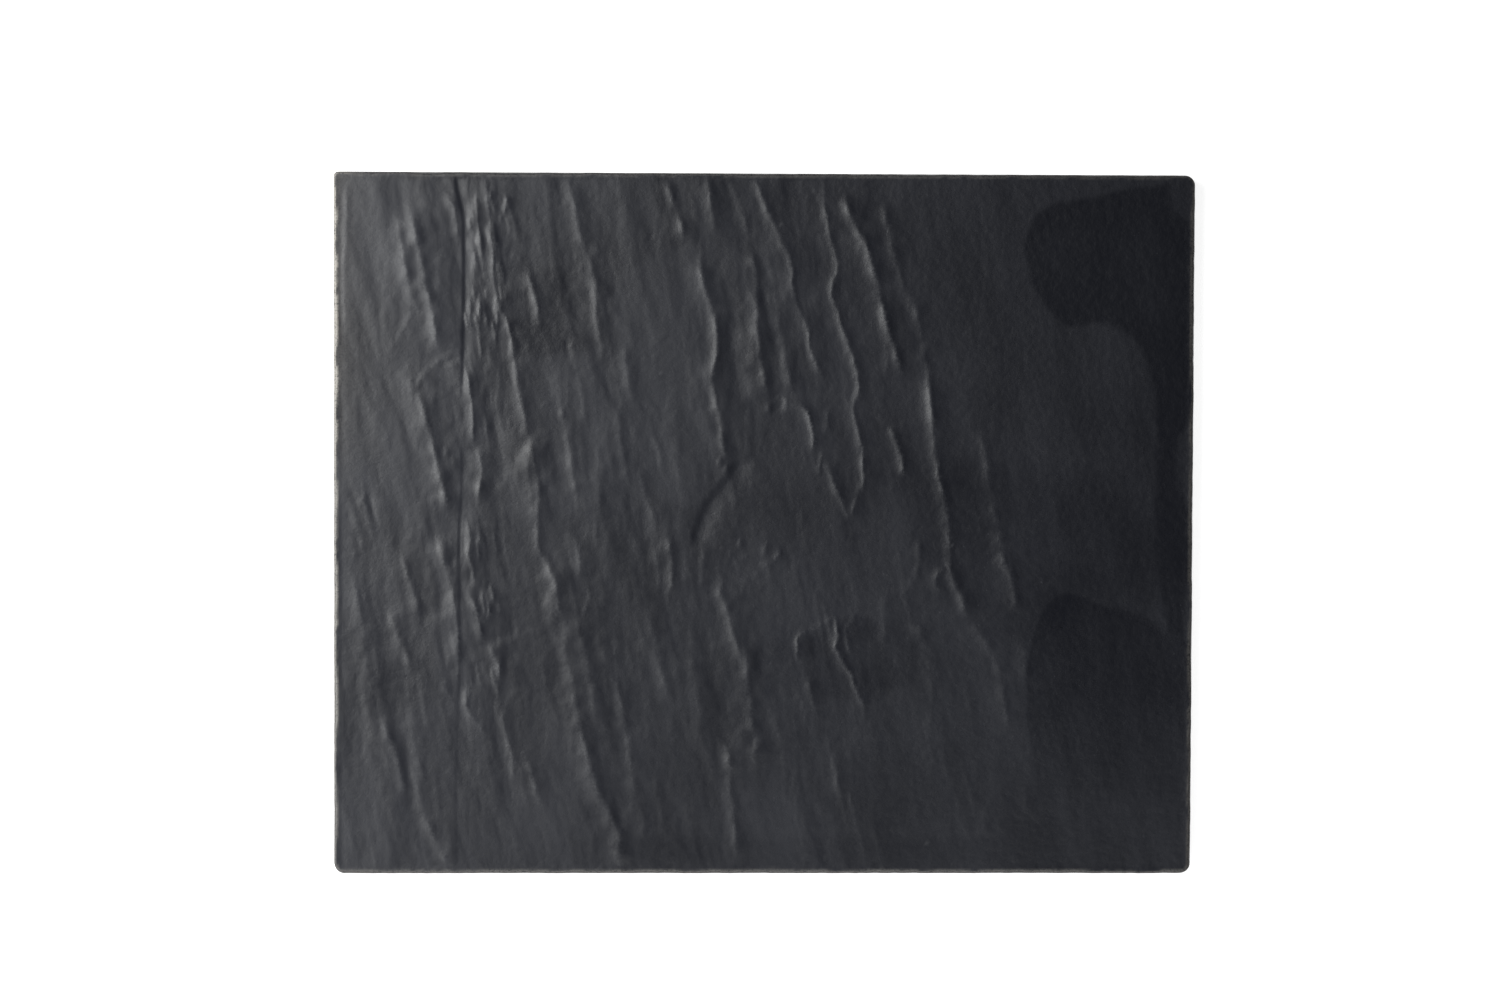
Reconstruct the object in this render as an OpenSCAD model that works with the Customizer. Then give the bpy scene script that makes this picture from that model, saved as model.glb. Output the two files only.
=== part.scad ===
// Slate serving board on four stick-on feet.
// A riven stone slab with dressed edges stands on rubber feet, which adhesive discs hold to its
// underside. X runs from left to right, Y from front to back and Z up. The origin is on the table,
// under the middle of the slab.

/* [Slab] */
// Width of the slab, left to right
slab_w = 325; // [240:1:530]
// Depth of the slab, front to back
slab_d = 265; // [160:1:325]
// Thickness of the slab, from its underside to the mean level of the riven face
slab_t = 6.5; // [5:0.5:12]
// Radius of the slab's corners, seen from above
corner_r = 4; // [2.5:0.5:8]
// Radius of the back left corner, which is dressed sharper than the others
back_left_r = 1.6; // [1.6:0.2:8]
// Radius of the rounded arris around the riven face
arris_r = 1.2; // [0.5:0.1:2]
// Width of the bevel around the underside
bevel_w = 0.8; // [0.3:0.1:1.5]

/* [Riven face] */
// Height of the tallest crest over the mean level
crest_h = 0.9; // [0.2:0.1:1.5]
// Longest slope that climbs to a crest
ramp_run = 8; // [4:0.5:16]
// Longest broken step that falls away behind a crest
step_run = 1.8; // [0.8:0.1:4]
// Height of the slow swell of the cleavage plane
swell_h = 0.12; // [0:0.02:0.3]
// Length of the slow swell, crest to crest
swell_run = 84; // [40:1:160]
// Band inside the arris over which the relief comes in
fade_run = 2.5; // [1:0.5:8]
// Spacing of the cross-sections from back to front
section_pitch = 8; // [7:0.5:20]

/* [Feet] */
// Diameter of a foot where it meets the adhesive
foot_d = 12; // [8:0.5:20]
// Diameter of the flat that a foot stands on
foot_flat_d = 9; // [5:0.5:16]
// Height of a foot
foot_h = 2.5; // [1.5:0.1:5]
// Radius of a foot's lower edge
foot_edge_r = 0.7; // [0.3:0.1:1.2]
// Distance of a foot's axis from the nearest two sides of the slab
foot_inset = 25; // [14:1:60]

/* [Adhesive] */
// Diameter of an adhesive disc
adhesive_d = 11; // [6:0.5:18]
// Thickness of an adhesive disc
adhesive_t = 0.2; // [0.1:0.05:1]

/* [Hidden] */

// The clefts of the riven face, from left to right. A cleft is a crest line that runs from the
// back edge to the front edge. Each of its points gives a share of the depth from the back edge,
// a share of the width from the left side, and the crest's share of the greatest height.
cleft_shares = [
    // Narrow leaves along the left side
    [[0, 0.020, 0], [0.07, 0.034, 0.3], [0.19, 0.049, 0.35], [0.325, 0.063, 0.3], [0.4, 0.060, 0],
     [0.45, 0.033, 0.45], [0.52, 0.040, 0.45], [0.56, 0.048, 0], [0.62, 0.060, 0.45],
     [0.71, 0.095, 0.45], [0.75, 0.075, 0], [0.785, 0.056, 0.7], [0.82, 0.069, 0.8],
     [0.905, 0.083, 0.8], [1, 0.086, 0.2]],
    [[0, 0.060, 0.3], [0.065, 0.072, 0.8], [0.16, 0.086, 0.85], [0.195, 0.097, 0.8],
     [0.25, 0.088, 0], [0.4, 0.085, 0], [0.54, 0.079, 0.55], [0.58, 0.086, 0.7],
     [0.63, 0.100, 0.5], [0.7, 0.112, 0], [0.785, 0.089, 0.3], [0.87, 0.106, 0.3], [1, 0.106, 0]],
    [[0, 0.082, 0.3], [0.06, 0.090, 0.8], [0.12, 0.099, 0.9], [0.21, 0.114, 0.9],
     [0.26, 0.122, 0.7], [0.275, 0.111, 0.5], [0.3, 0.100, 1], [0.345, 0.104, 1],
     [0.405, 0.118, 1], [0.445, 0.125, 0.85], [0.47, 0.128, 0.4], [0.55, 0.124, 0], [1, 0.126, 0]],
    // The straight seam, with the block that broke out across it
    [[0, 0.139, 0.5], [0.05, 0.148, 0.6], [0.18, 0.149, 0.5], [0.3, 0.147, 0.5],
     [0.325, 0.158, 0.9], [0.39, 0.160, 0.9], [0.41, 0.169, 0.9], [0.465, 0.168, 0.7],
     [0.51, 0.147, 0.4], [0.6, 0.145, 0.85], [0.7, 0.145, 0.9], [0.74, 0.144, 0.6],
     [0.81, 0.143, 0.3], [1, 0.142, 0.25]],
    [[0, 0.160, 0.2], [0.03, 0.164, 0.4], [0.14, 0.171, 0.35], [0.21, 0.178, 0], [0.35, 0.2, 0],
     [0.47, 0.2, 0], [0.56, 0.18, 0], [0.62, 0.165, 0.5], [0.66, 0.172, 0.6], [0.69, 0.186, 0.8],
     [0.76, 0.193, 0.7], [0.835, 0.207, 0.6], [0.85, 0.224, 0.5], [0.92, 0.244, 0.5],
     [1, 0.252, 0.1]],
    // The long ridge, from the back edge to the front edge
    [[0, 0.176, 0.6], [0.07, 0.180, 0.7], [0.17, 0.186, 0.7], [0.23, 0.206, 0.7],
     [0.32, 0.215, 0.75], [0.4, 0.230, 0.8], [0.46, 0.240, 0.7], [0.52, 0.236, 0.6],
     [0.555, 0.245, 0.8], [0.64, 0.265, 1], [0.77, 0.284, 1], [0.88, 0.306, 1], [0.915, 0.323, 1],
     [0.96, 0.334, 0.9], [1, 0.331, 0.5]],
    [[0, 0.197, 0.2], [0.05, 0.206, 0.4], [0.1, 0.216, 0.3], [0.18, 0.236, 0.5],
     [0.225, 0.243, 0.4], [0.29, 0.258, 0], [0.35, 0.272, 0.3], [0.42, 0.274, 0.35],
     [0.48, 0.285, 0.35], [0.53, 0.282, 0.5], [0.58, 0.286, 0.5], [0.68, 0.29, 0.2],
     [0.78, 0.31, 0], [0.88, 0.338, 0], [1, 0.365, 0]],
    [[0, 0.271, 0.6], [0.085, 0.286, 0.7], [0.15, 0.303, 0.7], [0.26, 0.313, 0.6],
     [0.3, 0.323, 0.3], [0.42, 0.341, 0.3], [0.48, 0.368, 0.3], [0.51, 0.388, 0.4],
     [0.6, 0.392, 0.5], [0.69, 0.376, 0.25], [0.755, 0.390, 0.3], [0.785, 0.42, 0],
     [0.81, 0.449, 0.4], [0.85, 0.462, 0.6], [0.88, 0.459, 0.5], [0.92, 0.467, 0.6], [1, 0.47, 0.4]],
    // The broken ridge, which turns back along a crack in the middle of the face
    [[0, 0.384, 0.8], [0.07, 0.404, 0.9], [0.1, 0.405, 0.6], [0.13, 0.424, 0.8], [0.195, 0.441, 1],
     [0.25, 0.446, 1], [0.3, 0.441, 0.9], [0.355, 0.449, 1], [0.4, 0.455, 0.9],
     [0.455, 0.444, 0.7], [0.495, 0.424, 0.8], [0.53, 0.414, 0.4], [0.555, 0.43, 0.1],
     [0.58, 0.45, 0.5], [0.64, 0.46, 0.6], [0.715, 0.482, 0.7], [0.82, 0.491, 0.6],
     [0.9, 0.5, 0], [1, 0.505, 0]],
    [[0, 0.456, 0.4], [0.08, 0.482, 0.5], [0.15, 0.492, 0.8], [0.25, 0.494, 0.9], [0.3, 0.502, 0.9],
     [0.325, 0.505, 0.7], [0.37, 0.51, 0], [0.55, 0.517, 0], [0.67, 0.538, 0.3],
     [0.765, 0.559, 0.3], [0.82, 0.582, 0.2], [1, 0.592, 0]],
    [[0, 0.486, 0.5], [0.04, 0.5, 0.7], [0.14, 0.533, 0.7], [0.16, 0.532, 0.6], [0.28, 0.564, 0.6],
     [0.3, 0.566, 0.3], [0.34, 0.550, 0.9], [0.38, 0.561, 0.9], [0.42, 0.575, 0.5],
     [0.48, 0.596, 0.4], [0.54, 0.603, 0.2], [0.61, 0.596, 0], [0.635, 0.583, 0.3],
     [0.695, 0.592, 0.4], [0.755, 0.614, 0.4], [0.84, 0.622, 0], [1, 0.631, 0]],
    [[0, 0.566, 0.3], [0.065, 0.574, 0.6], [0.14, 0.588, 0.8], [0.16, 0.578, 0.7], [0.245, 0.6, 0.7],
     [0.31, 0.614, 0.8], [0.33, 0.604, 0.7], [0.405, 0.617, 0.8], [0.455, 0.615, 0.5],
     [0.5, 0.622, 0], [0.605, 0.641, 0.2], [0.68, 0.643, 0.2], [0.78, 0.65, 0], [1, 0.665, 0]],
    // The two tall ridges right of the middle
    [[0, 0.59, 0.4], [0.045, 0.595, 0.6], [0.13, 0.626, 0.9], [0.23, 0.646, 1], [0.275, 0.659, 0.9],
     [0.33, 0.651, 0.1], [0.37, 0.651, 0.6], [0.415, 0.665, 0.8], [0.43, 0.663, 0.3],
     [0.555, 0.682, 0.3], [0.6, 0.673, 0.2], [0.7, 0.692, 0.3], [0.85, 0.699, 0.3], [1, 0.706, 0]],
    [[0, 0.622, 0.2], [0.055, 0.643, 0.4], [0.17, 0.667, 0.5], [0.22, 0.682, 0.6],
     [0.315, 0.694, 0.9], [0.42, 0.704, 1], [0.525, 0.719, 1], [0.58, 0.72, 1],
     [0.605, 0.732, 0.9], [0.64, 0.738, 0.7], [0.66, 0.755, 0.3], [0.71, 0.776, 0.3],
     [0.825, 0.801, 0.3], [0.92, 0.806, 0.2], [1, 0.806, 0]],
    [[0, 0.695, 0], [0.27, 0.723, 0], [0.37, 0.749, 0.4], [0.48, 0.769, 0.5], [0.53, 0.777, 0.8],
     [0.605, 0.793, 0.9], [0.63, 0.791, 0.6], [0.67, 0.8, 0.2], [0.75, 0.81, 0], [1, 0.835, 0]]
];
// Shares of the gap between two crests that a slope and a step may fill
ramp_gap_share = 0.6;
step_gap_share = 0.25;
// Where the slope bends upward, as a share of its run before the crest, and its height there
knee_run_share = 0.4;
knee_height_share = 0.35;
// How far the foot of a step sinks below the mean level, as a share of its crest's height
hollow_share = 0.4;
// How far the swell slants, as a share of the way back
swell_slant_share = 0.3;
// Cross-section points on the plain right of the last cleft
plain_points = 5;
// Angles between the points of the rounded arris and of a corner
arris_step = 30;
corner_step = 15;
// Points on the rounded edge of a foot
foot_edge_points = 6;

widest_corner_r = max(corner_r, back_left_r);
foot_top_z = foot_h;
slab_z = foot_top_z + adhesive_t;
face_z = slab_z + slab_t;
foot_x = slab_w / 2 - foot_inset;
foot_y = slab_d / 2 - foot_inset;

slate_colour = [0.19, 0.195, 0.21];
rubber_colour = [0.07, 0.07, 0.075];
adhesive_colour = [0.82, 0.8, 0.74];

// Outline of the slab, as seen from above

// Radius of the corner in the quarter of the slab that a point lies in
function radius_at(x, y) = x < 0 && y > 0 ? back_left_r : corner_r;

// Distance of a point from the outline, counted inwards
function edge_distance(x, y) =
    let (r = radius_at(x, y))
    let (over_x = abs(x) - slab_w / 2 + r)
    let (over_y = abs(y) - slab_d / 2 + r)
    r - norm([max(over_x, 0), max(over_y, 0)]) - min(max(over_x, over_y), 0);

// Distance from the middle to the side that a point is nearer to, where the corners draw it in
function half_width(x, y) =
    let (r = radius_at(x, y))
    let (over_y = max(abs(y) - slab_d / 2 + r, 0))
    slab_w / 2 - r + sqrt(max(r ^ 2 - over_y ^ 2, 0));

// Draws the outer ends of a cross-section in, so that they follow the corners
function fitted_x(x, y) =
    let (straight = slab_w / 2 - 2 * widest_corner_r)
    let (squeeze = (half_width(x, y) - straight) / (slab_w / 2 - straight))
    abs(x) < straight ? x : sign(x) * (straight + (abs(x) - straight) * squeeze);

// Direction that points out of the slab at a point of its outline
function outward(x, y) =
    let (r = radius_at(x, y))
    let (over_x = max(abs(x) - slab_w / 2 + r, 0))
    let (over_y = max(abs(y) - slab_d / 2 + r, 0))
    [sign(x) * over_x, sign(y) * over_y] / norm([over_x, over_y]);

// Riven face, as a loft of cross-sections that meet every crest line

function crest_x(cleft, back_share) = slab_w * (lookup(back_share, [for (p = cleft) [p[0], p[1]]]) - 1 / 2);
function crest_z(cleft, back_share) = crest_h * lookup(back_share, [for (p = cleft) [p[0], p[2]]]);

// One cross-section, as pairs of a place across the slab and a height over the mean level
function section(back_share) =
    let (crests = [for (cleft = cleft_shares) crest_x(cleft, back_share)])
    let (heights = [for (cleft = cleft_shares) crest_z(cleft, back_share)])
    let (last = len(crests) - 1)
    let (left_end = arris_r - slab_w / 2)
    let (right_end = slab_w / 2 - arris_r)
    let (gaps = [for (k = [0 : last + 1])
        (k > last ? right_end : crests[k]) - (k == 0 ? left_end : crests[k - 1])])
    let (starts = [for (k = [0 : last]) crests[k] - min(ramp_run, ramp_gap_share * gaps[k])])
    let (feet = [for (k = [0 : last]) crests[k] + min(step_run, step_gap_share * gaps[k + 1])])
    let (arris = [for (a = [0 : arris_step : 90]) arris_r * (1 - cos(a))])
    concat(
        [for (inset = arris) [inset - slab_w / 2, 0]],
        [for (k = [0 : last]) each [
            [starts[k], 0],
            [crests[k] - knee_run_share * (crests[k] - starts[k]), knee_height_share * heights[k]],
            [crests[k], heights[k]],
            [feet[k], -hollow_share * heights[k]],
            if (k < last) [(feet[k] + starts[k + 1]) / 2, 0]
        ]],
        [for (i = [1 : plain_points]) [feet[last] + (right_end - feet[last]) * i / (plain_points + 1), 0]],
        [for (k = [len(arris) - 1 : -1 : 0]) [slab_w / 2 - arris[k], 0]]
    );

function swell(x, y) = swell_h * sin(360 * (x + swell_slant_share * y) / swell_run);

// Height of the top at a point, with the relief faded in behind the arris
function top_z(x, y, relief) =
    let (inset = max(edge_distance(x, y), 0))
    let (fade = min(max((inset - arris_r) / fade_run, 0), 1))
    let (round_off = arris_r - sqrt(arris_r ^ 2 - max(arris_r - inset, 0) ^ 2))
    face_z + fade * (relief + swell(x, y)) - round_off;

// Places of the cross-sections, counted from the back edge and closer together round the corners
function section_insets() =
    let (corner = [for (a = [0 : corner_step : 90]) widest_corner_r * (1 - cos(a))])
    let (straight = slab_d - 2 * widest_corner_r)
    let (steps = ceil(straight / section_pitch))
    concat(
        corner,
        [for (i = [1 : steps - 1]) widest_corner_r + straight * i / steps],
        [for (k = [len(corner) - 1 : -1 : 0]) slab_d - corner[k]]
    );

module slab() {
    insets = section_insets();
    rows = len(insets);
    columns = len(section(0));
    top = [for (inset = insets)
        let (y = slab_d / 2 - inset)
        for (p = section(inset / slab_d))
        let (x = fitted_x(p[0], y))
        [x, y, top_z(x, y, p[1])]];
    rim = concat(
        [for (i = [0 : columns - 1]) i],
        [for (j = [1 : rows - 1]) j * columns + columns - 1],
        [for (i = [columns - 2 : -1 : 0]) (rows - 1) * columns + i],
        [for (j = [rows - 2 : -1 : 1]) j * columns]
    );
    count = len(rim);
    wall_foot = [for (i = rim) [top[i][0], top[i][1], slab_z + bevel_w]];
    underside = [for (i = rim)
        let (out = outward(top[i][0], top[i][1]))
        [top[i][0] - bevel_w * out[0], top[i][1] - bevel_w * out[1], slab_z]];
    wall_start = len(top);
    under_start = wall_start + count;
    middle = under_start + count;
    face_triangles = [for (j = [0 : rows - 2]) for (i = [0 : columns - 2])
        let (a = j * columns + i)
        let (b = a + columns)
        each [[a, a + 1, b + 1], [a, b + 1, b]]];
    side_triangles = [for (k = [0 : count - 1])
        let (next = (k + 1) % count)
        each [
            [rim[k], wall_start + k, wall_start + next], [rim[k], wall_start + next, rim[next]],
            [wall_start + k, under_start + k, under_start + next],
            [wall_start + k, under_start + next, wall_start + next],
            [under_start + k, middle, under_start + next]
        ]];
    color(slate_colour)
        polyhedron(concat(top, wall_foot, underside, [[0, 0, slab_z]]), concat(face_triangles, side_triangles));
}

// Feet and the discs that hold them, at the corner named by the sign of its side and its end

module foot(side, end) {
    edge = [for (k = [0 : foot_edge_points])
        let (a = 90 * k / foot_edge_points)
        [foot_flat_d / 2 + foot_edge_r * sin(a), foot_edge_r * (1 - cos(a))]];
    color(rubber_colour)
        translate([side * foot_x, end * foot_y, 0])
            rotate_extrude($fn = 96)
                polygon(concat([[0, 0]], edge, [[foot_d / 2, foot_top_z], [0, foot_top_z]]));
}

module adhesive(side, end) {
    color(adhesive_colour)
        translate([side * foot_x, end * foot_y, foot_top_z])
            cylinder(d = adhesive_d, h = adhesive_t, $fn = 96);
}

module foot_front_left() { foot(-1, -1); }
module foot_front_right() { foot(1, -1); }
module foot_back_left() { foot(-1, 1); }
module foot_back_right() { foot(1, 1); }
module adhesive_front_left() { adhesive(-1, -1); }
module adhesive_front_right() { adhesive(1, -1); }
module adhesive_back_left() { adhesive(-1, 1); }
module adhesive_back_right() { adhesive(1, 1); }

slab();
foot_front_left();
foot_front_right();
foot_back_left();
foot_back_right();
adhesive_front_left();
adhesive_front_right();
adhesive_back_left();
adhesive_back_right();
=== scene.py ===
"""Dresses the slate serving board: a riven stone slab on four stick-on rubber feet.

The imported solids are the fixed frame. The slab is rebuilt as a dense mesh whose riven face follows the
clefts of the stone. The feet and their adhesive discs keep their solids and get finished materials.
"""

import math
from collections import namedtuple

import bmesh
import bpy
import numpy as np
from mathutils import Euler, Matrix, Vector


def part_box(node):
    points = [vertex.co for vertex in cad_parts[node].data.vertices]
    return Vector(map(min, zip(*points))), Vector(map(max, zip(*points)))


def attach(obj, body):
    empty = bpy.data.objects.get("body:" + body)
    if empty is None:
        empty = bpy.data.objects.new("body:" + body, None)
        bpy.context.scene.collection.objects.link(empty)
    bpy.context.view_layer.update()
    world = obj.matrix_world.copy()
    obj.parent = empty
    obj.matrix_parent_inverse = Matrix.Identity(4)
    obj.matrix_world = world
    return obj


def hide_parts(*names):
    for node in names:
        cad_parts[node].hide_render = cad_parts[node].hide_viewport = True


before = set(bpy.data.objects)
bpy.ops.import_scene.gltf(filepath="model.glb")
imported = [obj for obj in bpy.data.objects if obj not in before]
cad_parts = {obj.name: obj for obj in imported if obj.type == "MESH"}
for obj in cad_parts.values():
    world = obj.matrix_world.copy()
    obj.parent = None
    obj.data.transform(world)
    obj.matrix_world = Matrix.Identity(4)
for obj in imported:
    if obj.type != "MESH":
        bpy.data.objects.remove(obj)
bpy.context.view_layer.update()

bl_info = {
    "name": "Slate serving board",
    "version": (1, 0, 0),
    "blender": (4, 5, 0),
    "location": "3D View > Sidebar > Serving board",
    "description": "Builds the riven slab, the finishes of its feet and the studio around them",
    "category": "Object",
}

MM = 0.001
SLAB_LOW, SLAB_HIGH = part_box("slab")
SLAB_HALF_WIDTH = SLAB_HIGH.x
SLAB_HALF_DEPTH = SLAB_HIGH.y
CORNERS = ("front_left", "front_right", "back_left", "back_right")
FOOT_NODES = tuple("foot_" + corner for corner in CORNERS)
ADHESIVE_NODES = tuple("adhesive_" + corner for corner in CORNERS)

# The photograph's frame, and the camera that took it
PHOTO_WIDTH_PX = 1500
PHOTO_HEIGHT_PX = 1000
CAMERA_PLACE = (-0.0402, 0.0551, 1.3464)
CAMERA_TURN_DEG = (-1.965, -1.477, 0.186)
CAMERA_TURN = Euler([math.radians(angle) for angle in CAMERA_TURN_DEG])
CAMERA_LENS_MM = 85
CAMERA_SENSOR_MM = 36

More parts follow.
